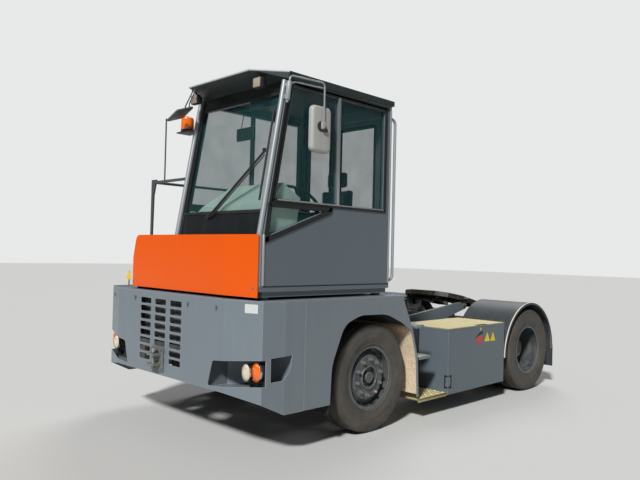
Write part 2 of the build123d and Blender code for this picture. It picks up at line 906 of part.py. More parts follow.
def make_dashboard():
    front = cab_front_y + cab_wall + fit
    side = (cab_inner[0] + fit, cab_inner[1] - fit)
    profile = [(front, cab_floor_top), (front, screen_z[0])]
    profile += [(axle1_y + y, z) for y, z in dash_profile]
    profile.append((dash_low_y, cab_floor_top))
    face = [(side[0], cab_floor_top), (side[0], dash_low_z)] + dash_face
    face += [(side[1], dash_profile[0][1]), (side[1], cab_floor_top)]
    dash = across(outline(profile), *side) & along_y(outline(face), front - clear, axle1_y)
    dash_top = dash_profile[0][1]
    return dash - across(outline([
        (front, cab_kink_z),
        (front + lean(dash_top), dash_top),
        (front - clear, dash_top),
        (front - clear, cab_kink_z),
    ]), side[0] - clear, side[1] + clear)


def make_interior():
    base_x = (seat_x[0] + seat_base_inset, seat_x[1] - seat_base_inset)
    base_y = (seat_y[0] + seat_base_inset, seat_y[1] - seat_base_inset)
    parts["seat_base"] = block(base_x, base_y, (cab_floor_top, seat_base_top))
    cushion_top = seat_base_top + fit + cushion_t
    back_y = seat_y[1] - back_overlap
    parts["seat_cushions"] = [
        block(seat_x, seat_y, (seat_base_top + fit, cushion_top)),
        block(seat_x, (back_y, back_y + back_t), (cushion_top + fit, back_top)),
    ]
    tilt = math.radians(wheel_tilt)
    axis = Vector(0, math.sin(tilt), math.cos(tilt))
    centre = Vector(*wheel_centre)
    hub_low = centre + axis * wheel_hub[0]
    column = bar(centre - axis * column_length, hub_low - axis * fit, column_r)
    parts["dashboard"] = make_dashboard() + column
    plane = Plane(origin=centre, z_dir=axis)
    wheel = plane * Torus(wheel_r, wheel_rim_r)
    wheel += bar(hub_low, centre + axis * wheel_hub[1], wheel_hub_r)
    for angle in wheel_spoke_angles:
        turn = math.radians(angle)
        tip = plane.from_local_coords(Vector(wheel_r * math.cos(turn), wheel_r * math.sin(turn), 0))
        wheel += bar(centre, tip, wheel_spoke_r)
    parts["steering_wheel"] = wheel


# Left mirror on its bent arm, and the kerb mirror under the right end of the visor
mirror_x = 1208
mirror_y = axle1_y - 790
mirror_z = cab_top_z - 365
mirror_size = (235, 400)
mirror_t = 48
mirror_round = 28
mirror_arm_r = 10
mirror_arm_bend = 18
mirror_arm_top = cab_top_z + 20
mirror_post_y = axle1_y - 1120
mirror_bracket_z = (cab_top_z - 140, cab_top_z - 60)
mirror_bracket_half = 22
mirror_bracket_out = 50
kerb_centre = (cab_right + 30, visor_y - 9, cab_top_z - 165)
kerb_size = (220, 180, 24)
kerb_tilt = 20
kerb_roll = 18
kerb_stay_y = visor_y + 24
kerb_stays = [(cab_right + 60, cab_right + 175), (cab_right + 130, cab_right + 215)]
kerb_stay_r = 7


def make_mirrors():
    post_x = cab_left + mirror_bracket_out / 2
    post_y = (mirror_post_y - mirror_bracket_half, mirror_post_y + mirror_bracket_half)
    left = block((cab_left + fit, cab_left + mirror_bracket_out), post_y, mirror_bracket_z)
    left += tube([
        (post_x, mirror_post_y, mirror_bracket_z[1] - mirror_arm_r),
        (post_x, mirror_post_y, mirror_arm_top),
        (mirror_x, mirror_y, mirror_arm_top),
        (mirror_x, mirror_y, mirror_z),
    ], mirror_arm_bend, mirror_arm_r)
    head = Pos(mirror_y, mirror_z) * RectangleRounded(*mirror_size, mirror_round)
    left += across(head, mirror_x - mirror_t / 2, mirror_x + mirror_t / 2)
    kerb = Pos(*kerb_centre) * Rot(kerb_tilt, -kerb_roll, 0) * Box(*kerb_size)
    stay_y = kerb_stay_y
    rise_x = math.sin(math.radians(kerb_roll))
    rise_y = math.sin(math.radians(kerb_tilt))
    for foot, x in kerb_stays:
        foot_z = kerb_centre[2] + rise_x * (foot - kerb_centre[0]) + rise_y * (stay_y - kerb_centre[1])
        knee_z = foot_z + kerb_size[2]
        stay = bar((foot, stay_y, foot_z), (foot, stay_y, knee_z), kerb_stay_r)
        stay += Pos(foot, stay_y, knee_z) * Sphere(kerb_stay_r)
        top = visor_under(stay_y + kerb_stay_r) - fit
        stay += bar((foot, stay_y, knee_z), (x, stay_y, top - 2 * kerb_stay_r), kerb_stay_r)
        stay += Pos(x, stay_y, top - 2 * kerb_stay_r) * Sphere(kerb_stay_r)
        stay += bar((x, stay_y, top - 2 * kerb_stay_r), (x, stay_y, top), kerb_stay_r)
        kerb += stay
    parts["mirrors"] = [left, kerb]


# Lamps: work lamps under the visor, beacon on its shelf, headlamps and tail lamps
work_lamp_x = (cab_left - 180, cab_right + 140)
work_lamp_half = 50
work_lamp_y = visor_y + 86
work_lamp_depth = 55
work_lamp_z = (cab_top_z - 80, cab_top_z + 12)
work_stalk_r = 8
beacon_r = 63
beacon_out = 140
beacon_y = axle1_y - 1200
beacon_z = (cab_top_z - 288, cab_top_z - 134)
shelf_t = 12
shelf_half = 75
# headlamp, then indicator: inset from the shell's corner, back from the front face, z, half sizes
front_lamp_rows = [(157, 95, 704, 52, 69), (72, 130, 712, 55, 75)]
front_lamp_depth = 80
lamp_stay_half = 100
lamp_stay_t = 30
tail_lamp = (300, 40, 90)
tail_lamp_in = 20


def make_lamps():
    work = []
    for x in work_lamp_x:
        y = (work_lamp_y - work_lamp_depth / 2, work_lamp_y + work_lamp_depth / 2)
        case = block((x - work_lamp_half, x + work_lamp_half), y, work_lamp_z)
        top = visor_under(work_lamp_y + work_stalk_r) - fit
        work.append(case + bar((x, work_lamp_y, work_lamp_z[1] - weld), (x, work_lamp_y, top), work_stalk_r))
    parts["work_lamps"] = work
    x = cab_right - beacon_out
    shelf_x = (x - shelf_half, cab_right - fit)
    shelf_y = (beacon_y - shelf_half, beacon_y + shelf_half)
    shelf = block(shelf_x, shelf_y, (beacon_z[0] - shelf_t, beacon_z[0]))
    parts["beacon"] = shelf + bar((x, beacon_y, beacon_z[0]), (x, beacon_y, beacon_z[1]), beacon_r)

    lamps = None
    for inset, back, z, half_x, half_z in front_lamp_rows:
        face = Pos(shell_corner_half - inset, z) * Ellipse(half_x, half_z)
        case = along_y(face, front_y + back, front_y + back + front_lamp_depth)
        lamps = case if lamps is None else lamps + case
    stay_x = shell_corner_half - (front_lamp_rows[0][0] + front_lamp_rows[1][0]) / 2
    stay_back = front_lamp_rows[0][1] + front_lamp_depth - weld
    lamps += block(
        (stay_x - lamp_stay_half, stay_x + lamp_stay_half),
        (front_y + stay_back, front_y + stay_back + lamp_stay_t),
        (recess_z[0] + recess_wall, front_lamp_rows[0][2]),
    )
    parts["front_lamps"] = twin(lamps)
    inner = tail_beam_half - tail_lamp_in - tail_lamp[0]
    base_z = tail_beam_z[1] + fit
    tail_y = (rear_y - tail_lamp[1], rear_y)
    tail = block((inner, inner + tail_lamp[0]), tail_y, (base_z, base_z + tail_lamp[2]))
    parts["tail_lamps"] = twin(tail)


# Guard rail round the hood top with its rod, and the grab tube at the cab's rear corner
guard_x = -600
guard_y = axle1_y - 1300
guard_rear_y = axle1_y + 50
guard_z = 2340
guard_r = 14
guard_post_t = 16
# front post in rows of (x from the rail, z)
guard_post = [(-45, hood_top), (-15, hood_top), (-5, 2200), (40, guard_z + 12), (-45, guard_z + 12)]
rod_x = -415
rod_top = 2940
guard_rod_r = 7
grab_in = 30
grab_out = 90
grab_z = (1420, 2985)
grab_bend = 50
grab_r = 14


def make_handrails():
    face = outline([(guard_x + x, z) for x, z in guard_post])
    guard = along_y(face, guard_y - guard_post_t / 2, guard_y + guard_post_t / 2)
    rail_z = guard_z - guard_r
    guard += bar((guard_x, guard_y, rail_z), (cab_right - fit, guard_y, rail_z), guard_r)
    guard += tube([
        (guard_x, guard_y, guard_z - guard_r),
        (guard_x, guard_rear_y, guard_z - guard_r),
        (guard_x, guard_rear_y, hood_top),
    ], grab_bend, guard_r)
    guard += bar((rod_x, guard_y, guard_z - guard_r), (rod_x, guard_y, rod_top), guard_rod_r)
    x = cab_left - grab_in
    grab = tube([
        (x, cab_rear_y + fit, grab_z[1]),
        (x, cab_rear_y + grab_out, grab_z[1]),
        (x, cab_rear_y + grab_out, grab_z[0]),
        (x, cab_rear_y + fit, grab_z[0]),
    ], grab_bend, grab_r)
    parts["handrails"] = [guard, grab]


# Wiper: a boss below the screen, two arms, and the blade parked upright at the left
wiper_x = 400
wiper_z = 1960
wiper_boss_r = 20
wiper_boss_out = 26
wiper_joint = (1030, cab_top_z - 590)
wiper_blade_x = 1070
wiper_blade_z = (2080, cab_top_z - 250)
wiper_arm_r = 6
wiper_arm_gap = 36
wiper_blade_r = 9
wiper_carrier_r = 8
wiper_carrier_over = 12
wiper_off = 18


def on_screen(x, z, off=wiper_off):
    """Point ahead of the windscreen plane."""
    return (x, cab_front_y + lean(z) - off, z)


def make_wiper():
    foot = (wiper_x, cab_front_y + lean(wiper_z - wiper_boss_r) - fit, wiper_z)
    wiper = bar(foot, (wiper_x, foot[1] - wiper_boss_out, wiper_z), wiper_boss_r)
    for shift in (0, wiper_arm_gap):
        start = on_screen(wiper_x + shift / 2, wiper_z - shift / 4)
        wiper += bar(start, on_screen(wiper_joint[0] + shift / 2, wiper_joint[1]), wiper_arm_r)
    carrier = on_screen(wiper_joint[0] - wiper_carrier_over, wiper_joint[1])
    wiper += bar(carrier, on_screen(wiper_blade_x, wiper_joint[1]), wiper_carrier_r)
    low, high = wiper_blade_z
    wiper += bar(on_screen(wiper_blade_x, low), on_screen(wiper_blade_x, high), wiper_blade_r)
    parts["wiper"] = wiper


# Side box and its hinged lid
box_x = (600, 1246)
box_y = (axle1_y + 1160, axle2_y - 670)
box_z = (200, 886)
sheet = 5
lid_t = 8
lid_over = 4
lid_inset = 2
lid_hinge_r = 8
lid_hinge_length = 60
lid_hinge_in = 200
hinge_drop = 36
outrigger_in = 250
outrigger_half = 40
outrigger_inset = 20


def outriggers(x, y):
    """Two short beams from a rail to a box or tank."""
    beams = []
    for middle in (y[0] + outrigger_in, y[1] - outrigger_in):
        depth = (middle - outrigger_half, middle + outrigger_half)
        beams.append(block(x, depth, (rail_bottom + outrigger_inset, rail_top - outrigger_inset)))
    return beams


def make_side_box():
    shell = block(box_x, box_y, box_z)
    shell -= block(
        (box_x[0] + sheet, box_x[1] - sheet),
        (box_y[0] + sheet, box_y[1] - sheet),
        (box_z[0] + sheet, box_z[1] + clear),
    )
    for beam in outriggers((rail_outer, box_x[0]), box_y):
        shell += beam
    lid_z = (box_z[1] + fit, box_z[1] + fit + lid_t)
    x = box_x[0] - lid_hinge_r
    z = (lid_z[0] + lid_z[1]) / 2
    lid = block((box_x[0] + lid_inset, box_x[1] + lid_over), box_y, lid_z)
    for y in (box_y[0] + lid_hinge_in, box_y[1] - lid_hinge_in):
        lid += bar((x, y - lid_hinge_length, z), (x, y, z), lid_hinge_r)
        lid += block((x, box_x[0] + lid_inset + weld), (y - lid_hinge_length, y), lid_z)
        knuckle = (y + fit, y + lid_hinge_length)
        shell += bar((x, knuckle[0], z), (x, knuckle[1], z), lid_hinge_r)
        shell += block((x - lid_hinge_r, box_x[0] + weld), knuckle, (z - hinge_drop, z - lid_t / 2))
    parts["side_box"] = shell
    parts["side_box_lid"] = lid


# Entry steps between the front wheel and the side box: rows of (first y, last y, thickness, top)
step_rows = [(660, 1160, 24, 224), (700, 980, 45, 600), (640, 800, 45, 930)]
step_x = (860, 1235)
stringer_t = 8
stringer_head = 870


def make_steps():
    web = (step_x[0], step_x[0] + stringer_t)
    lowest, highest = step_rows[0], step_rows[-1]
    stand = block(web, (axle1_y + lowest[0], axle1_y + lowest[1]), (lowest[3] - lowest[2], stringer_head))
    stand += block(web, (axle1_y + highest[0], axle1_y + highest[1]), (stringer_head - weld, highest[3]))
    for first, last, thick, top in step_rows:
        stand += block((web[1], step_x[1]), (axle1_y + first, axle1_y + last), (top - thick, top))
    parts["entry_steps"] = stand


# Fuel tank on the right, hydraulic tank between the rails
tank_x = (-1200, -600)
tank_y = (axle1_y + 900, axle2_y - 750)
tank_z = (330, 880)
tank_round = 60
hydraulic_half = 340
hydraulic_y = (gearbox_y[1] + 50, axle2_y - 1370)
hydraulic_top = 1130


def make_tanks():
    middle = Pos((tank_x[0] + tank_x[1]) / 2, (tank_z[0] + tank_z[1]) / 2)
    plan = middle * RectangleRounded(tank_x[1] - tank_x[0], tank_z[1] - tank_z[0], tank_round)
    tank = along_y(plan, *tank_y)
    for beam in outriggers((tank_x[1] - weld, -rail_outer), tank_y):
        tank += beam
    parts["fuel_tank"] = tank
    parts["hydraulic_tank"] = block((-hydraulic_half, hydraulic_half), hydraulic_y, (rail_top, hydraulic_top))


# Rear fenders with their stays and mud flaps
fender_r = 630
fender_t = 6
fender_inner_x = 560
fender_y = axle2_y - 10
fender_z = 470
fender_lip = 25
fender_lip_t = 5
stay_y = (axle2_y + 100, axle2_y + 160)
stay_z = (rail_top - 60, rail_top - 30)
stay_t = 20
flap_t = 6
flap_z = (240, 510)


def make_fenders():
    centre = Pos(fender_y, fender_z)
    upper = centre * Pos(0, fender_r) * Rectangle(3 * fender_r, 2 * fender_r)
    arc = (centre * (Circle(fender_r) - Circle(fender_r - fender_t))) & upper
    fender = across(arc, fender_inner_x, half_width)
    lip = (centre * (Circle(fender_r) - Circle(fender_r - fender_lip))) & upper
    fender += across(lip, half_width - fender_lip_t, half_width)
    fender += block((rail_outer, fender_inner_x + stay_t), stay_y, stay_z)
    stay = outline_box(stay_y, (stay_z[0], fender_z + fender_r)) & (centre * Circle(fender_r - weld))
    fender += across(stay, fender_inner_x, fender_inner_x + stay_t)
    flap_y = fender_y + fender_r + fit
    flap = block((fender_inner_x, half_width), (flap_y, flap_y + flap_t), flap_z)
    parts["rear_fenders"] = twin(fender)
    parts["mud_flaps"] = twin(flap)


# Lifting arm with its brackets: pivots as (y, z)
lift_pivot = (axle2_y - 1550, 880)
plate_pivot = (axle2_y - 230, 1025)
eye_point = (axle2_y - 750, 900)
arm_plate = (390, 420)
lug_plate = (345, 384)
# side plate of the arm, in rows of (pivot it follows, y and z from that pivot)
arm_outline = [
    (lift_pivot, 0, -50),
    (eye_point, 0, -50),
    (plate_pivot, 20, -56),
    (plate_pivot, 0, 48),
    (lift_pivot, 0, 50),
]
lift_boss_r = 54
plate_boss_r = 60
lift_pin_r = 30
plate_pin_r = 25
cross_tube_r = 35
bracket_foot_half = 90
bracket_head_half = 50
bracket_rise = 50
bracket_t = 34
stop_x = (385, 425)
stop_y = (axle2_y - 530, axle2_y - 470)


def arm_underside(y):
    """Height of the arm's lower edge between the eye and the plate pivot."""
    start = (eye_point[0], eye_point[1] - 50)
    end = (plate_pivot[0] + 20, plate_pivot[1] - 56)
    return start[1] + (end[1] - start[1]) * (y - start[0]) / (end[0] - start[0])


def make_lift_arm():
    face = outline([(pivot[0] + y, pivot[1] + z) for pivot, y, z in arm_outline])
    arm = bar((-arm_plate[0], *eye_point), (arm_plate[0], *eye_point), cross_tube_r)
    for side in (1, -1):
        x0, x1 = sorted((side * arm_plate[0], side * arm_plate[1]))
        arm += across(face, x0, x1)
        arm += bar((x0, *lift_pivot), (x1, *lift_pivot), lift_boss_r)
        arm += bar((x0, *plate_pivot), (x1, *plate_pivot), plate_boss_r)
        arm -= bar((x0 - clear, *lift_pivot), (x1 + clear, *lift_pivot), lift_pin_r + pin_fit)
        arm += bar((side * arm_plate[1], *plate_pivot), (side * lug_plate[0], *plate_pivot), plate_pin_r)
    parts["lift_arm"] = arm

    brackets = []
    for side in (1, -1):
        x0, x1 = sorted((side * (lug_plate[1] - bracket_t), side * lug_plate[1]))
        stand = across(outline([
            (lift_pivot[0] - bracket_foot_half, rail_top),
            (lift_pivot[0] + bracket_foot_half, rail_top),
            (lift_pivot[0] + bracket_head_half, lift_pivot[1] + bracket_rise),
            (lift_pivot[0] - bracket_head_half, lift_pivot[1] + bracket_rise),
        ]), x0, x1)
        pin = bar((side * (lug_plate[1] - weld), *lift_pivot), (side * arm_plate[1], *lift_pivot), lift_pin_r)
        stop_top = arm_underside(stop_y[0]) - fit
        stop = block(sorted((side * stop_x[0], side * stop_x[1])), stop_y, (rail_top, stop_top))
        stub_end = (side * (cylinder_x - stub_in), *barrel_pivot)
        stub = bar((side * rail_inner, *barrel_pivot), stub_end, lift_pin_r)
        brackets += [stand + pin, stop, stub]
    parts["lift_brackets"] = brackets


# Lift cylinders: barrels on stub pins, rods whose eyes go round the arm's cross tube
barrel_pivot = (axle2_y - 1400, 650)
cylinder_x = 200
stub_in = 50
barrel_r = 45
barrel_bore = 36
barrel_length = 470
barrel_boss_r = 55
barrel_boss_half = 30
barrel_base = 100
barrel_head = 20
piston = (130, 165)
piston_rod_r = 22
rod_boss_r = 58
rod_boss_half = 25
eye_drift = 6


def make_cylinders():
    run = math.hypot(eye_point[0] - barrel_pivot[0], eye_point[1] - barrel_pivot[1])
    along = Vector(0, (eye_point[0] - barrel_pivot[0]) / run, (eye_point[1] - barrel_pivot[1]) / run)
    barrels = []
    rods = []
    for x in (cylinder_x, -cylinder_x):
        base = Vector(x, *barrel_pivot)
        head = barrel_length - barrel_head
        low = (x - barrel_boss_half, *barrel_pivot)
        high = (x + barrel_boss_half, *barrel_pivot)
        barrel_piece = bar(low, high, barrel_boss_r)
        barrel_piece += bar(base + along * barrel_head, base + along * barrel_length, barrel_r)
        pin_ends = [(x, *barrel_pivot) for x in (low[0] - barrel_r, high[0] + barrel_r)]
        barrel_piece -= bar(*pin_ends, lift_pin_r + pin_fit)
        barrel_piece -= bar(base + along * barrel_base, base + along * head, barrel_bore)
        bore_end = base + along * (barrel_length + clear)
        barrel_piece -= bar(base + along * (head - weld), bore_end, piston_rod_r + pin_fit)
        barrels.append(barrel_piece)
        rod = bar(base + along * piston[0], base + along * piston[1], barrel_bore - pin_fit)
        rod += bar(base + along * piston[0], base + along * run, piston_rod_r)
        rod += bar((x - rod_boss_half, *eye_point), (x + rod_boss_half, *eye_point), rod_boss_r)
        rod -= bar((x - rod_boss_r, *eye_point), (x + rod_boss_r, *eye_point), cross_tube_r + eye_drift)
        rods.append(rod)
    parts["lift_barrels"] = barrels
    parts["lift_rods"] = rods


# Fifth wheel: a horseshoe plate on two lugs, modelled level about its pivot, then tilted to rest
plate_tilt = 12.7
plate_top = 100
top_t = 16
skirt_z = 40
skirt_t = 14
kingpin_bore_r = 25.4
lock_r = 88
lock_z = (24, 99)
plate_lug_half = 50
# half plan of the plate, front to rear, in rows of (x, y)
plate_half = [(190, -380), (350, -300), (450, -120), (450, 250), (330, 500), (160, 500), (48, 90)]


def make_fifth_wheel():
    plan = outline(plate_half + [(-x, y) for x, y in reversed(plate_half)])
    table = upright(plan, plate_top - top_t, plate_top)
    table += upright(plan - offset(plan, -skirt_t), skirt_z, plate_top - top_t)
    table += bar((0, 0, lock_z[0]), (0, 0, lock_z[1]), lock_r)
    table -= bar((0, 0, 0), (0, 0, plate_top + clear), kingpin_bore_r)
    for side in (1, -1):
        x0, x1 = sorted((side * lug_plate[0], side * lug_plate[1]))
        table += block((x0, x1), (-plate_lug_half, plate_lug_half), (0, plate_top - top_t))
        table += bar((x0, 0, 0), (x1, 0, 0), plate_lug_half)
        table -= bar((x0 - clear, 0, 0), (x1 + clear, 0, 0), plate_pin_r + pin_fit)
    parts["fifth_wheel"] = Pos(0, *plate_pivot) * Rot(-plate_tilt, 0, 0) * table


for make in (
    make_frame,
    make_driveline,
    make_rear_axle,
    make_front_axle,
    make_front_springs,
    make_knuckles,
    make_wheels,
    make_bumper,
    make_side_panels,
    make_tow_coupling,
    make_hood,
    make_cab,
    make_roof,
    make_interior,
    make_mirrors,
    make_lamps,
    make_handrails,
    make_wiper,
    make_side_box,
    make_steps,
    make_tanks,
    make_fenders,
    make_lift_arm,
    make_cylinders,
    make_fifth_wheel,
):
    make()

os.makedirs("parts", exist_ok=True)
for name, shape in parts.items():
    solids = shape if isinstance(shape, list) else [shape]
    export_step(Compound(children=solids) if len(solids) > 1 else solids[0], f"parts/{name}.step")
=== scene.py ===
import math

import bmesh
import bpy
from mathutils import Matrix, Vector

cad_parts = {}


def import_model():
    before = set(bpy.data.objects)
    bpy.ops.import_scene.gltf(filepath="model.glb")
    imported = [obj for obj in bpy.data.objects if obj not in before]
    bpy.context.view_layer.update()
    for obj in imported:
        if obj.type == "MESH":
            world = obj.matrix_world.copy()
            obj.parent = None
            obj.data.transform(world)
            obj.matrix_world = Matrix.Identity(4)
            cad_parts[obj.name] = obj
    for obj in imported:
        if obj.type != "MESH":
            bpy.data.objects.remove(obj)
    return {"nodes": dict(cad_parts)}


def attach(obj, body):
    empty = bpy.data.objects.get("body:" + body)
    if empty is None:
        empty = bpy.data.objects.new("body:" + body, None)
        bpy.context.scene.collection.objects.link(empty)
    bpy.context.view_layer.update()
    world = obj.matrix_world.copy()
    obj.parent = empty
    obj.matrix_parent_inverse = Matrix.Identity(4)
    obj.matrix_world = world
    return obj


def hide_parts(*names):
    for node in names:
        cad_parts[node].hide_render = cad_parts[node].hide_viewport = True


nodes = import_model()["nodes"]
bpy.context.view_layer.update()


# The picture: a 35.6 mm lens at the height of a person's eyes, off the left front corner.
# A pale floor and sky stand in for a studio; the key light comes from ahead, as the sun did.
def colour(code):
    """An sRGB hex value as the linear colour that Blender works in."""
    channels = [int(code[i:i + 2], 16) / 255 for i in (1, 3, 5)]
    return [c / 12.92 if c <= 0.04045 else ((c + 0.055) / 1.055) ** 2.4 for c in channels] + [1]


def fill(tree, node, sockets):
    """Fills a node's sockets with values, hex colours or other nodes' outputs."""
    for name, value in sockets.items():
        if isinstance(value, bpy.types.NodeSocket):
            tree.links.new(value, node.inputs[name])
        else:
            node.inputs[name].default_value = colour(value) if isinstance(value, str) else value


def add(tree, kind, sockets=None, output=0, **settings):
    """Adds a node with its settings and filled sockets, and gives one of its outputs."""
    made = tree.nodes.new("ShaderNode" + kind)
    for name, value in settings.items():
        setattr(made, name, value)
    fill(tree, made, sockets or {})
    return made.outputs[output]


def sums(operation, first, second=0.0, clamp=False):
    """The result of a sum on one or two values, in the first one's tree."""
    return add(first.id_data, "Math", {0: first, 1: second}, operation=operation, use_clamp=clamp)


def new_finish(name):
    """A plain finish: its material, its node tree and its coordinates."""
    material = bpy.data.materials.new(name)
    material.use_nodes = True
    return material, material.node_tree, add(material.node_tree, "TexCoord", output="Object")


def surface(tree, base, rough, others=None):
    """Gives a finish its colour, roughness and other inputs."""
    fill(tree, tree.nodes["Principled BSDF"], {"Base Color": base, "Roughness": rough, **(others or {})})


def show(name, data):
    """Puts a mesh, curve, light or camera into the scene."""
    made = bpy.data.objects.new(name, data)
    scene.collection.objects.link(made)
    return made


def join(name, parts):
    """Part meshes as one object in the scene."""
    mesh = bpy.data.meshes.new(name)
    whole = bmesh.new()
    for part in parts:
        part.to_mesh(mesh)
        part.free()
        whole.from_mesh(mesh)
    whole.to_mesh(mesh)
    whole.free()
    return show(name, mesh)


scene = bpy.context.scene
scene.view_settings.view_transform = "Standard"
lens = bpy.data.cameras.new("lens")
lens.lens = 35.6
lens.sensor_width = 36
camera = show("camera", lens)
eye, heading, pitch, roll = (5.014, -5.678, 1.662), 0.785, 0.021, 0.024
turn = Matrix.Rotation(heading, 4, "Z") @ Matrix.Rotation(math.pi / 2 + pitch, 4, "X")
camera.matrix_world = Matrix.Translation(eye) @ turn @ Matrix.Rotation(roll, 4, "Z")
scene.camera = camera

# name, direction the light comes from, strength, softness in degrees
for name, source, strength, softness in (
    ("key", (0.33, -0.7, 0.63), 3.9, 6),
    ("back", (-0.4, 0.7, 0.75), 1.0, 30),
):
    lamp = bpy.data.lights.new(name, "SUN")
    lamp.energy = strength
    lamp.angle = math.radians(softness)
    show(name, lamp).rotation_euler = Vector(source).to_track_quat("Z", "Y").to_euler()

# the sky looks bright to the camera and through glass, and lights the scene softly
sky = bpy.data.worlds.new("pale sky")
sky.use_nodes = True
scene.world = sky
tree = sky.node_tree
tree.nodes.clear()
seen_ray, glass_ray = (add(tree, "LightPath", output=f"Is {kind} Ray") for kind in ("Camera", "Transmission"))
seen = sums("MAXIMUM", seen_ray, glass_ray)
soft = add(tree, "Background", {"Color": "#e3e9ef", "Strength": 0.16})
bright = add(tree, "Background", {"Color": "#edefef", "Strength": 0.95})
either = add(tree, "MixShader", {0: seen, 1: soft, 2: bright})
fill(tree, tree.nodes.new("ShaderNodeOutputWorld"), {"Surface": either})

ground = bmesh.new()
bmesh.ops.create_grid(ground, x_segments=1, y_segments=1, size=60)
floor = join("floor", [ground])
matt = new_finish("pale floor")[0]
surface(matt.node_tree, "#c6c6c3", 0.95)
floor.data.materials.append(matt)


# The chassis: box rails, members and brackets of welded plate, in satin black two-pack paint.
# Road dust lies on it in patches, and rows of cap screws hold its brackets to the rails.
def noise(place, scale, detail, rough=0.5):
    """Cloudy noise between 0 and 1."""
    sockets = {"Vector": place, "Scale": scale, "Detail": detail, "Roughness": rough}
    return add(place.id_data, "TexNoise", sockets, "Fac")


def ramp(value, low, high, start=0.0, end=1.0):
    """Start where a value is at low, end where it is at high, and evenly between them."""
    sockets = {"Value": value, "From Min": low, "From Max": high, "To Min": start, "To Max": end}
    return add(value.id_data, "MapRange", sockets)


def mix(share, first, second):
    """A share of a second colour over a first one."""
    return add(share.id_data, "MixRGB", {0: share, 1: first, 2: second})


def relief(height, strength, distance=0.001):
    """Small bumps in the light, up to a distance high in metres."""
    return add(height.id_data, "Bump", {"Height": height, "Strength": strength, "Distance": distance})


def enamel(name, paint, dust, rough=0.5, dusty=0.3, metallic=0.0, low_dust=0.0, edges=0.0, shine=0.5):
    """Sprayed enamel on steel: orange peel, dust in patches and rain streaks, and pale edges that are part
    wear, part painted highlight.
    """
    material, tree, place = new_finish(name)
    stretched = add(tree, "Mapping", {"Vector": place, "Scale": (16, 16, 0.9)})
    patches = sums("MULTIPLY", noise(place, 2.4, 8, 0.62), noise(stretched, 1, 5))
    grain = ramp(noise(place, 170, 3, 0.7), 0.35, 0.7, 0.6)
    film = sums("MULTIPLY", ramp(patches, 0.16, 0.42, 0, dusty), grain)
    if low_dust:
        height = add(tree, "SeparateXYZ", {0: place}, "Z")
        splash = sums("MULTIPLY", ramp(height, 0.75, 0.3, 0, low_dust), grain)
        film = sums("ADD", film, splash, clamp=True)
    body = mix(film, paint, dust)
    # pale arrises: part worn paint, part a painted highlight along the edges
    if edges:
        soft_normal = add(tree, "Bevel", {"Radius": 0.007}, samples=4)
        hard_normal = add(tree, "NewGeometry", output="Normal")
        apart = add(tree, "VectorMath", {0: soft_normal, 1: hard_normal}, "Value", operation="DOT_PRODUCT")
        body = mix(ramp(apart, 0.995, 0.9, 0, edges), body, "#b9c0c4")
    sheen = ramp(film, 0, 1, rough, min(rough + 0.35, 1))
    peel = relief(noise(place, 260, 2), 0.08)
    surface(tree, body, sheen, {"Normal": peel, "Metallic": metallic, "Specular IOR Level": shine})
    return material


def coat(material, *names):
    """Gives CAD nodes a finish."""
    for name in names:
        mesh = nodes[name].data
        mesh.materials.clear()
        mesh.materials.append(material)


def break_edges(width, *names):
    """Rounds the arrises of CAD nodes over 35 degrees, as grinding and paint do on real plate."""
    for name in names:
        stack = nodes[name].modifiers
        stack.new("join", "WELD").merge_threshold = 0.00005
        flat = stack.new("flat", "DECIMATE")
        flat.decimate_type = "DISSOLVE"
        flat.angle_limit = math.radians(1)
        arris = stack.new("arris", "BEVEL")
        arris.width = width
        arris.segments = 2
        arris.limit_method = "ANGLE"
        arris.angle_limit = math.radians(35)


def piece(name, parts, material, body="chassis", crease=35):
    """Joins parts into one object that rides on a body. Edges sharper than crease degrees stay sharp."""
    made = join(name, parts)
    made.data.shade_smooth()
    made.data.set_sharp_from_angle(angle=math.radians(crease))
    made.data.materials.append(material)
    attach(made, body)
    return made


def move(part, way=(0, 0, 0), turn=Matrix()):
    """Turns or stretches a part by a matrix, then moves it by a vector."""
    bmesh.ops.transform(part, matrix=Matrix.Translation(way) @ turn, verts=part.verts)


def round_off(part, geom, offset, segments, affect="EDGES"):
    """Rounds edges or corners of a part to a radius."""
    bmesh.ops.bevel(part, geom=geom, affect=affect, offset=offset, segments=segments, profile=0.5,
                    material=-1)


def rod(start, end, radius, sides=20, edge=0.0):
    """A round bar between two points, with its end arrises rounded by edge."""
    made = bmesh.new()
    line = Vector(end) - Vector(start)
    bmesh.ops.create_cone(made, cap_ends=True, segments=sides, radius1=radius, radius2=radius,
                          depth=line.length)
    if edge:
        round_off(made, [e for e in made.edges if abs(e.verts[0].co.z - e.verts[1].co.z) < 1e-6], edge, 2)
    move(made, (Vector(start) + Vector(end)) / 2, line.to_track_quat("Z", "Y").to_matrix().to_4x4())
    return made


chassis_paint = enamel("satin_black_chassis_paint", "#272a2c", "#736f64", dusty=0.4, low_dust=0.35)
coat(chassis_paint, "frame_rails", "frame_crossmembers", "lift_brackets", "hydraulic_tank", "fuel_tank",
     "lift_barrels")
worn_steel = enamel("worn_fastener_steel", "#7a7b7b", "#3c3b39", rough=0.42, dusty=0.5, metallic=0.35)


def hardware(name, parts, body="chassis"):
    """Screws, bolts and nuts: worn steel with sharp flats."""
    return piece(name, parts, worn_steel, body, 25)


rail_side, screw_height = 0.442, 0.012
cap_screws = [rod((side * rail_side, y, z), (side * (rail_side + screw_height), y, z), 0.011, 6)
              for side in (1, -1) for z in (0.635, 0.785) for y in [-0.42 + 0.12 * n for n in range(26)]]
hardware("rail_screws", cap_screws)


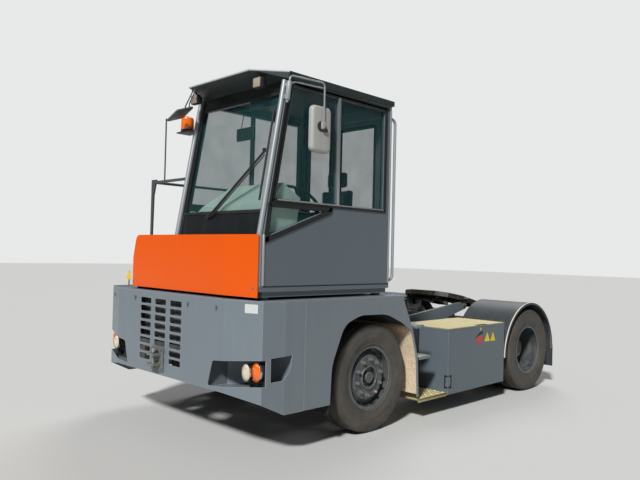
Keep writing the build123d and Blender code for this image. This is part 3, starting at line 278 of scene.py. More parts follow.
# Engine, gearbox, axles, springs and knuckles: iron castings and forgings, black with oil and mud.
# A casting keeps the grain of its sand mould, and oil gives it a dull wet sheen.
def casting(name, metal, mud, muddy):
    """Sand-cast iron under oil and dried mud."""
    material, tree, place = new_finish(name)
    cover = ramp(noise(place, 9, 9, 0.65), 0.45, 0.62, 0, muddy)
    height = sums("ADD", noise(place, 220, 4, 0.6), cover)
    sheen = ramp(cover, 0, 1, 0.36, 0.9)
    surface(tree, mix(cover, metal, mud), sheen, {"Normal": relief(height, 0.35)})
    return material


oily_iron = casting("oily_cast_iron", "#26262a", "#6b6255", 0.55)
coat(oily_iron, "engine", "gearbox", "front_axle", "rear_axle", "knuckle_left", "knuckle_right", "track_rod",
     "front_springs", "radiator")


# Wheels: 22.5 inch steel rims in black paint under low tyres with four grooves round the tread.
# A tyre is moulded rubber: ribs run round its sidewall, its tread is cut by fine slits, and dust greys it.
def turned(profile, centre, steps=64, axis="X", side=1):
    """A lathe shape: profile rows are (place along the axis, radius) from centre."""
    made = bmesh.new()
    points = [made.verts.new((side * along, 0, radius)) for along, radius in profile]
    edges = [made.edges.new(pair) for pair in zip(points, points[1:])]
    bmesh.ops.spin(made, geom=points + edges, axis=(1, 0, 0), angle=math.tau, steps=steps, use_merge=True)
    bmesh.ops.remove_doubles(made, verts=made.verts, dist=0.00001)
    if axis == "Z":
        move(made, turn=Matrix.Rotation(-math.pi / 2, 4, "Y"))
    bmesh.ops.recalc_face_normals(made, faces=made.faces)
    move(made, centre)
    return made


def rubber(name, axle_y):
    """Tyre rubber: dark tread with slits across it, painted darker inside as painted shade, and a sidewall
    greyed by dust.
    """
    material, tree, place = new_finish(name)
    middle = add(tree, "Mapping", {"Vector": place, "Location": (0, -axle_y, -hub_height)})
    y, z = (add(tree, "SeparateXYZ", {0: middle}, axis) for axis in "YZ")
    across = add(tree, "CombineXYZ", {"Y": y, "Z": z})
    radius = add(tree, "VectorMath", {0: across}, "Value", operation="LENGTH")
    # 150 slits round the tread, one every 21 mm
    slits = sums("SINE", sums("MULTIPLY", sums("ARCTAN2", y, z), 150))
    slit = sums("MULTIPLY", ramp(slits, 0.7, 0.95), ramp(radius, 0.488, 0.497))
    # fine rings on the shoulder, 12 mm apart
    rings = sums("SINE", sums("MULTIPLY", radius, 520))
    ribbed = sums("MULTIPLY", rings, ramp(radius, 0.455, 0.475))
    dust = ramp(noise(middle, 6, 9, 0.65), 0.3, 0.68, 0.3, 0.8)
    grain = ramp(noise(middle, 240, 2), 0.3, 0.7, 0.75, 1.1)
    grey = mix(sums("MULTIPLY", dust, grain, clamp=True), "#2f2e2d", "#635e57")
    bumps = relief(sums("SUBTRACT", ribbed, slit), 0.5, 0.003)
    # the slits are free of dust and painted darker still than clean rubber: painted shade inside them
    surface(tree, mix(slit, grey, "#1a1918"), 0.82, {"Normal": bumps, "Specular IOR Level": 0.35})
    return material


def studs(hub, count, first, circle, length, radius, sides, edge):
    """Studs that stand outwards round a hub. First says where the first one is, as a share of a step."""
    x, axle_y, axle_z = hub
    made = []
    for index in range(count):
        angle = math.tau * (index + first) / count
        y, z = axle_y + circle * math.cos(angle), axle_z + circle * math.sin(angle)
        made.append(rod((x, y, z), (x + math.copysign(length, x), y, z), radius, sides, edge))
    return made


# half of a tyre's section, tread middle to bead, in rows of (x, radius)
tyre_half = [
    (0.0, 0.507), (0.024, 0.5068), (0.026, 0.495), (0.034, 0.495), (0.036, 0.5066), (0.076, 0.506),
    (0.078, 0.495), (0.086, 0.495), (0.088, 0.5052), (0.112, 0.5035), (0.122, 0.4995), (0.129, 0.492),
    (0.134, 0.48), (0.1335, 0.477), (0.1375, 0.456), (0.1395, 0.43), (0.14, 0.408), (0.138, 0.399),
    (0.1395, 0.395), (0.1375, 0.37), (0.13, 0.338), (0.122, 0.317), (0.123, 0.312), (0.115, 0.303),
    (0.108, 0.299), (0.107, 0.2885), (0.098, 0.2866),
]
tyre_section = tyre_half + [(-x, radius) for x, radius in reversed(tyre_half[1:])]
flange = [(0.088, 0.112), (0.104, 0.108), (0.106, 0.1), (0.092, 0.094), (0.058, 0.091), (0.054, 0.052)]
hub_cap = [(0.054, 0.0505), (0.098, 0.0505), (0.105, 0.045), (0.105, 0.03), (0.101, 0.028), (0.101, 0.0)]
front_axle_y, rear_axle_y, hub_height = -1.105, 1.895, 0.508
front_wheel_x, front_disc, rear_wheels_x, rear_disc_x = 1.04, 0.088, (1.095, 0.75), 0.9365
stud_count, stud_circle, painted_stud = 10, 0.1675, 8
front_rubber = rubber("front_tyre_rubber", front_axle_y)
rear_rubber = rubber("rear_tyre_rubber", rear_axle_y)
rim_paint = enamel("black_wheel_paint", "#353b3f", "#7b7972", rough=0.28, dusty=0.7, edges=0.5)
hub_steel = enamel("greasy_hub_steel", "#5a5955", "#36342f", rough=0.4, dusty=0.5, metallic=0.3)
primer = enamel("faded_pink_nut_cap", "#c48f8a", "#8a6a66", rough=0.6)
for side, name in ((1, "left"), (-1, "right")):
    body = "wheel_front_" + name
    centre = (side * front_wheel_x, front_axle_y, hub_height)
    mould = [turned(tyre_section, centre, 120)]
    tyre = piece(f"tyre_front_{name}_moulded", mould, front_rubber, body)
    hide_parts("tyre_front_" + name)
    coat(rim_paint, "rim_front_" + name)
    ring = ((side * (front_wheel_x + front_disc), front_axle_y, hub_height), stud_count, 0.35, stud_circle)
    ends = studs(*ring, 0.036, 0.0115, 16, 0.002)
    painted = ends.pop(painted_stud)
    hardware("wheel_nuts_front_" + name, studs(*ring, 0.024, 0.0165, 6, 0.002) + ends, body)
    piece("nut_seats_front_" + name, studs(*ring, 0.005, 0.024, 24, 0.0015), rim_paint, body)
    piece("nut_cap_front_" + name, [painted], primer, body)
    piece("hub_flange_front_" + name, [turned(flange, centre, side=side)], rim_paint, body)
    piece("hub_cap_front_" + name, [turned(hub_cap, centre, 48, side=side)], hub_steel, body)
    stem = rod((side * 1.085, front_axle_y + 0.05, hub_height + 0.262),
               (side * 1.13, front_axle_y + 0.052, hub_height + 0.256), 0.0045, 10)
    piece("valve_front_" + name, [stem], worn_steel, body)

    body = "wheels_rear_" + name
    pair = [turned(tyre_section, (side * x, rear_axle_y, hub_height), 120) for x in rear_wheels_x]
    tyres = piece(f"tyres_rear_{name}_moulded", pair, rear_rubber, body)
    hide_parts("tyres_rear_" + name)
    coat(rim_paint, "rims_rear_" + name)
    ring = ((side * rear_disc_x, rear_axle_y, hub_height), stud_count, 0.5, stud_circle)
    nuts = studs(*ring, 0.006, 0.025, 24, 0.0015) + studs(*ring, 0.028, 0.0165, 6, 0.002)
    hardware("wheel_nuts_rear_" + name, nuts + studs(*ring, 0.042, 0.0115, 14, 0.002), body)
    bolts = studs((side * 1.07, rear_axle_y, hub_height), 8, 0, 0.082, 0.009, 0.009, 6, 0.001)
    hardware("hub_bolts_rear_" + name, bolts, body)


# Front shell: 8 mm steel plate, folded at its chamfers, welded and sprayed blue-grey.
# Its ground edges catch the light, and four hooks hold the grille plate. One plate is a blank white label.
def slab(low, high, edge=0.0, segments=2):
    """A block between two corners, its arrises rounded by edge."""
    made = bmesh.new()
    bmesh.ops.create_cube(made, size=1)
    low, high = Vector(low), Vector(high)
    move(made, turn=Matrix.Diagonal((*(high - low), 1)))
    if edge:
        round_off(made, made.edges[:], edge, segments)
    move(made, (low + high) / 2)
    return made


def rectangle(low_a, high_a, low_b, high_b):
    """The corners of a rectangle, in pairs."""
    return (low_a, low_b), (high_a, low_b), (high_a, high_b), (low_a, high_b)


def plate(corners, push, rounding=0.0, hole=0.0):
    """A flat outline with rounded corners, pushed to a thickness. With hole, only a rim that wide is left."""
    made = bmesh.new()
    made.faces.new([made.verts.new(corner) for corner in corners])
    if rounding:
        round_off(made, made.verts[:], rounding, 6, "VERTICES")
    if hole:
        inside = made.faces[:]
        bmesh.ops.inset_region(made, faces=inside, thickness=hole, use_boundary=True, use_even_offset=True)
        bmesh.ops.delete(made, geom=inside, context="FACES_ONLY")
    risen = bmesh.ops.extrude_face_region(made, geom=made.faces[:])["geom"]
    bmesh.ops.translate(made, vec=push, verts=[v for v in risen if isinstance(v, bmesh.types.BMVert)])
    bmesh.ops.recalc_face_normals(made, faces=made.faces)
    return made


grey_paint = enamel("blue_grey_enamel", "#6b757c", "#8f918c", rough=0.36, dusty=0.16, low_dust=0.06,
                    edges=0.4)
coat(grey_paint, "front_bumper", "front_deck", "side_panel_left", "side_panel_right", "lift_arm")
break_edges(0.003, "front_bumper", "side_panel_left", "side_panel_right", "front_deck", "lift_arm")
front = -2.605
hooks = []
for x in (-0.945, -0.543, 0.353, 0.768):
    hooks += [rod((x, front, 1.205), (x, front - 0.012, 1.205), 0.012, 6, 0.001),
              rod((x, front - 0.008, 1.212), (x, front - 0.008, 1.178), 0.006, 10, 0.001)]
hardware("grille_hooks", hooks)
label_white = enamel("blank_white_label", "#c3c6c3", "#b6b5ae", rough=0.35)
label = [(1.062, -2.5438, 1.248), (1.178, -2.5052, 1.248), (1.178, -2.5052, 1.177), (1.062, -2.5438, 1.177)]
piece("blank_label", [plate(label, (0.0003, -0.0009, 0), 0.004)], label_white)


# Lamps in the shell's pockets: oval headlamps with a clear lens, and ovals with an amber one outside them.
# A lens is moulded clear plastic with flutes inside it, in a chromed rim; its bright reflector is a painted
# glow in the lens's colour.
def lens_finish(name, tint, painted_glow):
    """Fluted coloured plastic, paler in clouds: a painted glow of daylight through it from its bright back.
    """
    material, tree, place = new_finish(name)
    flutes = add(tree, "TexWave", {"Vector": place, "Scale": 55}, "Fac")
    # the paler colour is a painted glow, not a lamp
    surface(tree, mix(noise(place, 22, 2), tint, painted_glow), 0.12,
            {"Coat Weight": 0.8, "Normal": relief(flutes, 0.4, 0.002)})
    return material


def dome(centre, half, rise):
    """An oval lens that faces forwards: half a ball, its flat side on the lamp."""
    made = bmesh.new()
    bmesh.ops.create_uvsphere(made, u_segments=36, v_segments=18, radius=1)
    whole = made.verts[:] + made.edges[:] + made.faces[:]
    bmesh.ops.bisect_plane(made, geom=whole, plane_no=(0, 1, 0), clear_outer=True)
    move(made, centre, Matrix.Diagonal((half[0], rise, half[1], 1)))
    return made


lamp_case = enamel("black_moulded_plastic", "#1b1d1f", "#57554f", dusty=0.4)
coat(lamp_case, "front_lamps")
clear_lens = lens_finish("clear_fluted_lens", "#b9b09a", "#dcd3bd")
amber_lens = lens_finish("amber_fluted_lens", "#dd5204", "#f27c10")
red_lens = lens_finish("red_fluted_lens", "#7c1210", "#a81d18")
chrome = enamel("thin_chrome_plate", "#c9cbcc", "#77756f", rough=0.18, dusty=0.35, metallic=1.0)
rim_section = [(0.0, 1.0), (0.012, 1.0), (0.016, 0.97), (0.0, 0.94)]
rims = []
# name, x, depth behind the shell's front, z, half width and half height of the lens
for name, x, back, z, half, finish, slot in (
    ("headlamp", 1.065, 0.095, 0.704, (0.052, 0.0695), clear_lens, "lamp_lens"),
    ("indicator", 1.15, 0.13, 0.712, (0.055, 0.0755), amber_lens, "amber_lens"),
):
    for side in (1, -1):
        rim = turned(rim_section, (0, 0, 0), 40, "Z")
        move(rim, turn=Matrix.Diagonal((half[0] + 0.003, half[1] + 0.003, 1, 1)))
        move(rim, (side * x, front + back + 0.004, z), Matrix.Rotation(math.pi / 2, 4, "X"))
        rims.append(rim)
    lenses = [dome((side * x, front + back + 0.001, z), half, 0.03) for side in (1, -1)]
    piece(name + "_lenses", lenses, finish)
piece("lamp_rims", rims, chrome)


# Tow coupling: a welded jaw with a drop pin, zinc plated once and now dull, on a bolted base plate.
# A steel ring through the pin's head is its handle.
zinc = enamel("dull_zinc_plate", "#8b8f8e", "#6a6152", dusty=0.55, metallic=0.6)
coat(zinc, "tow_coupling")
break_edges(0.004, "tow_coupling")
jaw_x, ring_radius, wire = -0.1, 0.03, 0.005
fixings = [rod((jaw_x + x, front - 0.012, z), (jaw_x + x, front - 0.026, z), 0.013, 6, 0.002)
           for x in (-0.072, 0.072) for z in (0.585, 0.76)]
ring = bmesh.new()
bmesh.ops.create_circle(ring, segments=10, radius=wire)
move(ring, (ring_radius, 0, 0), Matrix.Rotation(math.pi / 2, 4, "X"))
bmesh.ops.spin(ring, geom=ring.verts[:] + ring.edges[:], axis=(0, 0, 1), angle=math.tau, steps=32,
               use_merge=True)
bmesh.ops.recalc_face_normals(ring, faces=ring.faces)
move(ring, (jaw_x, front - 0.058, 0.752), Matrix.Rotation(1.1, 4, "X"))
hardware("tow_jaw_bolts", fixings + [ring])


# Mudguards: black rubber sheet over steel, bolted under the deck.
# Dry mud cakes the side that faces the wheel, behind the axle and up to where the tyre throws it.
mud_line, mud_top = front_axle_y + 0.28, 0.99
guard_mud, tree, place = new_finish("dry_mud_on_black_rubber")
lumps = noise(place, 55, 8, 0.7)
gravel = add(tree, "TexVoronoi", {"Vector": place, "Scale": 130}, "Distance")
behind = ramp(add(tree, "SeparateXYZ", {0: place}, "Y"), mud_line, mud_line + 0.12)
below = ramp(add(tree, "SeparateXYZ", {0: place}, "Z"), mud_top, mud_top - 0.08)
# the side that faces the wheel: there the normal points towards the axle
to_axle = {"Vector": place, "Location": (0, -front_axle_y, -hub_height), "Scale": (0, 1, 1)}
from_axle = add(tree, "Mapping", to_axle)
outwards = add(tree, "TexCoord", output="Normal")
facing = add(tree, "VectorMath", {0: from_axle, 1: outwards}, "Value", operation="DOT_PRODUCT")
thrown = sums("MULTIPLY", sums("MULTIPLY", behind, below), ramp(facing, 0.1, -0.1, 0.12))
cover = sums("MULTIPLY", thrown, ramp(lumps, 0.34, 0.5, 0.45))
bumps = relief(sums("ADD", lumps, gravel), 0.8, 0.004)
surface(tree, mix(cover, "#1c1c1b", "#dcc5a7"), 0.95, {"Normal": bumps})
coat(guard_mud, "front_mudguards")


# Nose panel: a gloss orange moulding of glass-fibre plastic, deeper in the colour and shinier than paint.
# It is bare and held by zinc screws. Beside it a blank yellow plate stands on a bracket on the deck.
orange = enamel("gloss_orange_gelcoat", "#dc5300", "#d9743a", rough=0.25, dusty=0.06, shine=0.25)
coat(orange, "nose_panel")
break_edges(0.006, "nose_panel")
screws = []
for x, y, z in ((1.13, -2.523, 1.375), (-0.69, -2.556, 1.345)):
    screws += [rod((x, y + 0.004, z), (x, y - 0.003, z), 0.011, 20, 0.001),
               rod((x, y, z), (x, y - 0.006, z), 0.006, 6, 0.001)]
piece("nose_panel_screws", screws, zinc, crease=25)
yellow_plate = enamel("yellow_plate", "#dcc21c", "#b3a550", rough=0.45)
sign = [(x, -2.405, z) for x, z in ((-1.122, 1.344), (-1.008, 1.344), (-1.065, 1.442))]
piece("blank_yellow_sign", [plate(sign, (0, 0.003, 0), 0.006)], yellow_plate)
post = [slab((-1.075, -2.402, 1.27), (-1.055, -2.396, 1.43), 0.001),
        slab((-1.085, -2.402, 1.2755), (-1.045, -2.36, 1.281), 0.001)]
piece("sign_bracket", post, rim_paint)


# Engine hood and cab: folded sheet in the same blue-grey, cleaner and duller than the heavy plate below, set
# darker than it as painted shade.
# The cab stands on its floor with a strip of rubber between them, a black line under the wall.
# a darker copy of the plate's blue-grey: painted shade on the hood, cab and box
sheet_paint_shaded = enamel("blue_grey_sheet_enamel_painted_shade", "#5a646b", "#70777a", rough=0.42, dusty=0.14, edges=0.3)
sheet_parts = ("engine_hood", "cab_floor", "cab_left_wall", "cab_right_wall", "cab_rear_wall", "cab_door",
               "side_box")
coat(sheet_paint_shaded, *sheet_parts)
break_edges(0.004, *sheet_parts)
black_rubber = enamel("black_profile_rubber", "#141516", "#3a3a37", rough=0.6)
cab_left, cab_right, cab_front, cab_rear, floor_top = 1.17, -0.055, -2.465, -0.885, 1.385
seal_low, seal_high, seal_out = floor_top - 0.004, floor_top + 0.006, 0.002
joint_line = [slab((cab_right + 0.01, cab_rear - seal_out, seal_low),
                   (cab_left - 0.01, cab_rear + seal_out, seal_high), 0.001)]
for x in (cab_left, cab_right):
    joint_line.append(slab((x - seal_out, cab_front + 0.004, seal_low),
                           (x + seal_out, cab_rear - 0.004, seal_high), 0.001))
piece("floor_joint_seal", joint_line, black_rubber)


# Door and hood fittings: a lever lock on the door, two rubber latches and six vents on the hood.
# The lever is black die-cast zinc; the vents are pressed slots, drawn as thin black strips that are painted
# shade for their dark insides.
lever_black = enamel("black_die_casting", "#1b1c1d", "#4a4844", rough=0.4)
lock = [slab((0.995, cab_rear, 1.93), (1.035, cab_rear + 0.005, 2.05), 0.002),
        slab((0.925, cab_rear + 0.014, 1.978), (1.03, cab_rear + 0.022, 2.002), 0.003),
        rod((1.015, cab_rear + 0.004, 1.99), (1.015, cab_rear + 0.018, 1.99), 0.01, 16, 0.001),
        rod((1.015, cab_rear + 0.004, 1.95), (1.015, cab_rear + 0.008, 1.95), 0.009, 20, 0.001)]
piece("door_lock", lock, lever_black, body="cab_door")
# each vent is a thin black strip on the hood's side: painted shade where the slot's inside would be
vents = [slab((-0.7365, -1.45, z), (-0.7335, -1.2, z + 0.014), 0.001)
         for z in [1.5 + 0.035 * n for n in range(6)]]
piece("hood_vents_painted_shade", vents, black_rubber)
latches = []
for y in (-2.1, -1.25):
    latches += [slab((-0.74, y - 0.016, 1.36), (-0.734, y + 0.016, 1.46), 0.002),
                rod((-0.742, y - 0.022, 1.44), (-0.742, y + 0.022, 1.44), 0.006, 12, 0.001)]
piece("hood_latches", latches, lever_black)


# Windscreen frame: the bare black border of the bonded screen, glossy, with a rubber lip round the glass.
# Each side has an aluminium slider in a black rubber frame, and a low quarter light with a broad seal.
def screen_point(x, z, off):
    """A point off the windscreen's outer face, which leans back above 1.8 m."""
    return (x, cab_front + 0.227 * (z - 1.8) / 1.28 - off, z)


screen_black = enamel("black_screen_border", "#15181a", "#3b3f41", rough=0.2, dusty=0.25)
coat(screen_black, "cab_front_frame")
screen = [screen_point(x, z, -0.001) for x, z in rectangle(-0.008, 1.123, 1.978, 2.985)]
lips = [plate(screen, (0, -0.009, 0.002), 0.045, 0.026)]
slide_frame = [(-2.395, 2.062), (-0.957, 2.062), (-0.957, 3.064), (-2.216, 3.064)]
quarter_light = [(-2.458, 1.728), (-1.7, 2.009), (-1.68, 2.066), (-2.421, 2.066)]
border = [(-2.4145, 2.062), (-2.385, 2.062), (-2.207, 3.06), (-2.2375, 3.06)]
# how far a rim lies inside the wall's outer face, and how far it stands out from there
outer_rim, inner_rim = (0.001, 0.009), (0.039, -0.008)
for wall, out in ((cab_left, 1), (cab_right, -1)):
    for inside, stands in (outer_rim, inner_rim):
        x, push = wall - out * inside, out * stands
        for outline, *rim in ((slide_frame, 0.02, 0.031), (quarter_light, 0.018, 0.04), (border,)):
            lips.append(plate([(x, y, z) for y, z in outline], (push, 0, 0), *rim))
        lips.append(slab((min(x, x + push), -2.16, 3.045), (max(x, x + push), -0.93, 3.078), 0.002))
for x0, x1, body in ((0.026, 0.404, "chassis"), (0.491, 1.009, "cab_door")):
    outline = rectangle(x0, x1, 2.076, 2.944)
    rims = [plate([(x, cab_rear - inside, z) for x, z in outline], (0, push, 0), 0.03, 0.024)
            for inside, push in ((0.001, 0.008), (0.039, -0.008))]
    piece("rear_window_seal_" + body, rims, black_rubber, body=body)
piece("window_seals", lips, black_rubber)
aluminium = enamel("anodised_aluminium", "#b4b7b8", "#6f706d", rough=0.32, metallic=0.8)
mullions = []
for x in (cab_left + 0.004, cab_right - 0.004):
    mullions += [slab((x - 0.006, -1.64, 2.09), (x + 0.006, -1.61, 3.04), 0.003),
                 slab((x - 0.005, -2.33, 2.082), (x + 0.005, -0.99, 2.094), 0.002)]
piece("slider_mullions", mullions, aluminium)


# Wiper: a pantograph of pressed steel in matt black, on a boss under the screen.
# Its second arm is a thin steel rod that keeps the blade upright.
wiper_black = enamel("matt_black_wiper", "#17181a", "#45433f", rough=0.6)
coat(wiper_black, "wiper")
second_arm = [rod(screen_point(0.455, 1.955, 0.022), screen_point(1.048, 2.452, 0.022), 0.005, 12, 0.001),
              rod(screen_point(1.03, 2.5, 0.008), screen_point(1.03, 2.5, 0.03), 0.014, 16, 0.002)]
piece("wiper_second_arm", second_arm, wiper_black)


# Glass: green-tinted safety glass 6 mm thick, held in its rubber lips.
# A faint film of dust veils it in clouds.
pane, tree, place = new_finish("green_tinted_glass")
veil = ramp(noise(place, 3, 7, 0.6), 0.3, 0.75, 0.22, 0.3)
surface(tree, "#23494b", 0.03, {"IOR": 1.6, "Alpha": veil})
coat(pane, "cab_glass", "door_window")


# Roof: a black moulding of glass-fibre plastic whose visor juts over the windscreen.
# The visor's front lip is a pale grey rod, a painted highlight along its edge.
roof_black = enamel("black_roof_gelcoat", "#262e2e", "#4a5252", rough=0.42, dusty=0.15)
coat(roof_black, "cab_roof")
break_edges(0.005, "cab_roof")
visor, lip_z = [(-0.067, -2.238), (0.101, -2.488), (0.968, -2.488), (1.182, -2.238)], 3.1415
lip = [rod((*start, lip_z), (*end, lip_z), 0.008, 12) for start, end in zip(visor, visor[1:])]
# pale grey rod along the lip: a painted highlight
visor_highlight_grey = enamel("visor_lip_painted_highlight", "#b6bdbd", "#8f9493", rough=0.45)
piece("visor_lip", lip, visor_highlight_grey)


# Corner tubes, guard rail and grab tube: drawn steel tube with a thin silver-grey coat.
# The hood's guard rail, on the right, is the same tube in dark grey.
tube_finish = enamel("silver_grey_tube", "#989da0", "#63676a", rough=0.35, dusty=0.4, metallic=0.3)
coat(tube_finish, "cab_pillars")
tube_foot, tube_y = 1.392, cab_rear - 0.01
corners = [rod((x, tube_y, tube_foot), (x, tube_y, 3.055), 0.0155, 20, 0.002)
           for x in (cab_left - 0.01, cab_right + 0.01)]
x, y = cab_left - 0.004, cab_front + 0.008
corners.append(rod((x, y, tube_foot), (x, y, 1.8), 0.0125, 16, 0.002))
piece("cab_corner_tubes", corners, tube_finish)
rail_finish = enamel("handrail_paint", "#8d9396", "#63676a", rough=0.38, dusty=0.35)
tree = rail_finish.node_tree
across = add(tree, "SeparateXYZ", {0: add(tree, "TexCoord", output="Object")}, "X")
shader = tree.nodes["Principled BSDF"]
silver_part = shader.inputs["Base Color"].links[0].from_socket
fill(tree, shader, {"Base Color": mix(ramp(across, 0.02, -0.02), silver_part, "#41474a")})
coat(rail_finish, "handrails")


# Inside: a mint-green moulded dashboard with a black pod, a black steering wheel, and a sprung seat.
# The seat's covers are dark woven cloth over foam, with a teal panel on the back rest.
def woven(name, warp, weft):
    """Woven seat cloth: threads drawn 4 mm apart, coarser than real ones, so that they show."""
    material, tree, place = new_finish(name)
    threads = {"Vector": place, "Scale": 80, "Distortion": 0.4}
    both_ways = [add(tree, "TexWave", threads, "Fac", bands_direction=way) for way in "XZ"]
    weave = sums("MULTIPLY", *both_ways)
    surface(tree, mix(weave, warp, weft), 0.92, {"Sheen Weight": 0.3, "Normal": relief(weave, 0.4)})
    return material


def cushion(name, low, high, material, swell):
    """Foam in a sewn cover: a block blown up by cloth pressure, no point by more than swell."""
    made = join(name, [slab(low, high, 0.03, 4)])
    bpy.context.view_layer.objects.active = made
    remesh = made.modifiers.new("even mesh", "REMESH")
    remesh.mode = "VOXEL"
    remesh.voxel_size = 0.006
    bpy.ops.object.modifier_apply(modifier=remesh.name)
    rest = [v.co.copy() for v in made.data.vertices]
    blow = made.modifiers.new("blow", "CLOTH")
    blow.settings.use_pressure = True
    blow.settings.uniform_pressure_force = 4
    blow.settings.effector_weights.gravity = 0
    for step in range(1, 21):
        scene.frame_set(step)
    bpy.ops.object.modifier_apply(modifier=blow.name)
    scene.frame_set(1)
    for vertex, start in zip(made.data.vertices, rest):
        blown = vertex.co - start
        if blown.length > swell:
            vertex.co = start + blown.normalized() * swell
    smooth = made.modifiers.new("smooth", "SUBSURF")
    smooth.levels = smooth.render_levels = 1
    made.data.shade_smooth()
    made.data.materials.append(material)
    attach(made, "chassis")
    return made


mint = enamel("mint_green_moulding", "#d2f0e3", "#9db3a9", rough=0.6, dusty=0.2)
coat(mint, "dashboard")
black_moulding = enamel("black_grained_moulding", "#1b1d1f", "#4a4a47", rough=0.55, dusty=0.25)
coat(black_moulding, "seat_base", "steering_wheel")
break_edges(0.012, "seat_base")
seat_cloth = woven("dark_woven_seat_cloth", "#1c2126", "#2f373d")
teal_cloth = woven("teal_woven_panel", "#2c4a4c", "#4a6d6c")
base_pad = cushion("seat_pad", (0.5, -1.585, 1.768), (0.9, -1.16, 1.848), seat_cloth, 0.016)
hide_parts("seat_cushions")
cushion("back_pad", (0.5, -1.17, 1.878), (0.9, -1.095, 2.29), seat_cloth, 0.016)
cushion("head_pad", (0.58, -1.168, 2.312), (0.82, -1.1, 2.462), seat_cloth, 0.012)
cushion("back_panel", (0.57, -1.196, 1.93), (0.83, -1.17, 2.24), teal_cloth, 0.008)


# Over the driver a dark mirror hangs on two wire stays, and a roller blind is fixed to the screen's top.
# The mirror is black moulded plastic; the blind's cloth hangs 80 mm down from its roller.
mirror_x = 0.5775
inside_mirror = [slab((0.455, -2.215, 2.645), (0.7, -2.185, 2.76), 0.012, 3)]
inside_mirror += [rod((x, -2.195, 2.75), ((x + mirror_x) / 2, -2.17, 3.02), 0.004, 8) for x in (0.5, 0.655)]
piece("inside_mirror", inside_mirror, black_moulding)
blind_blue = enamel("blue_blind_cloth", "#3f5b6b", "#4f6674", rough=0.8, dusty=0.2)
blind = [rod((0.62, -2.185, 2.985), (1.08, -2.185, 2.985), 0.014, 16, 0.003),
         slab((0.63, -2.203, 2.905), (1.07, -2.199, 2.985), 0.001)]
piece("screen_blind", blind, blind_blue)


# Beacon: an amber dome of moulded plastic on a black base.
# It is bolted to a steel shelf on the cab's right wall.
beacon_x, beacon_y, shelf_top, shelf_half = -0.195, -2.305, 2.792, 0.075
foot = (beacon_x, beacon_y, shelf_top)
shelf = slab((beacon_x - shelf_half, beacon_y - shelf_half, shelf_top - 0.012),
             (cab_right - 0.001, beacon_y + shelf_half, shelf_top), 0.003)
base = turned([(0.0, 0.0), (0.0, 0.063), (0.022, 0.063), (0.026, 0.059), (0.026, 0.0)], foot, 40, "Z")
piece("beacon_stand", [shelf, base], lamp_case)
shade = [(0.026, 0.059), (0.03, 0.0615), (0.124, 0.0585), (0.138, 0.053), (0.149, 0.036), (0.153, 0.018),
         (0.154, 0.0)]
flash = piece("beacon_dome", [turned(shade, foot, 48, "Z")], amber_lens)
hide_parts("beacon")


# Work lamps: cream-faced halogen lamps in black cases of moulded plastic.
# They hang under the visor on short stalks.
work_cases, work_faces = [], []
for x in (0.99, 0.085):
    work_cases += [slab((x - 0.05, -2.428, 3.002), (x + 0.05, -2.3785, 3.09), 0.012, 3),
                   slab((x - 0.038, -2.4, 3.012), (x + 0.038, -2.352, 3.08), 0.016, 3),
                   rod((x, -2.405, 3.085), (x, -2.405, 3.118), 0.008, 12)]
    work_faces.append(slab((x - 0.043, -2.4325, 3.008), (x + 0.043, -2.424, 3.084), 0.004))
cases = piece("work_lamp_cases", work_cases, lamp_case)
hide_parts("work_lamps")
piece("work_lamp_lenses", work_faces, lens_finish("dull_halogen_lens", "#8d8474", "#b3a894"))


# Mirrors: a pale grey case clamped to a bent arm on the left, and a dark kerb mirror under the visor.
# The arms are 16 mm tube, the clamp is cast, and the left arm stands in a socket on the corner tube.
def bent_tube(name, points, radius, bend, material):
    """A tube along straight runs, its corners bent to a radius."""
    line = bpy.data.curves.new(name, "CURVE")
    line.dimensions = "3D"
    run = line.splines.new("BEZIER")
    path = [Vector(p) for p in points]
    knots = [(path[0], path[0], path[0])]
    for before, corner, after in zip(path, path[1:], path[2:]):
        into = corner + (before - corner).normalized() * bend
        out = corner + (after - corner).normalized() * bend
        knots.append((into, into, into.lerp(corner, 0.55)))
        knots.append((out, out.lerp(corner, 0.55), out))
    knots.append((path[-1], path[-1], path[-1]))
    run.bezier_points.add(len(knots) - 1)
    for point, (place, left, right) in zip(run.bezier_points, knots):
        point.co, point.handle_left, point.handle_right = place, left, right
    line.bevel_depth = radius
    line.bevel_resolution = 4
    line.use_fill_caps = True
    line.materials.append(material)
    made = show(name, line)
    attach(made, "chassis")


case_grey = enamel("pale_grey_mirror_case", "#a6a7a3", "#7c7a72", dusty=0.4)
silver, tree, place = new_finish("silvered_mirror_glass")
blots = mix(noise(place, 30, 6), "#9aa3a6", "#c2c8ca")
surface(tree, blots, 0.05, {"Metallic": 1.0})
outline = rectangle(-2.0125, -1.7775, 2.515, 2.915)
head = plate([(1.1845, y, z) for y, z in outline], (0.0465, 0, 0), 0.05)
round_off(head, [e for e in head.edges if min(v.co.x for v in e.verts) > 1.23], 0.03, 5)
case = piece("mirror_case_left", [head], case_grey)
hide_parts("mirrors")
glass = slab((1.1815, -1.995, 2.535), (1.1845, -1.795, 2.895), 0.001)
piece("mirror_glass_left", [glass], silver)
knob = [rod((1.228, -1.912, 2.735), (1.235, -1.912, 2.735), 0.044, 32, 0.003),
        slab((1.232, -1.9, 2.69), (1.25, -1.845, 2.722), 0.006),
        rod((1.24, -1.875, 2.722), (1.2495, -1.875, 2.722), 0.01, 6, 0.001)]
piece("mirror_knob", knob, lamp_case)
yoke = slab((1.23, -1.915, 2.712), (1.249, -1.868, 2.775), 0.008, 3)
piece("mirror_clamp", [yoke], case_grey)
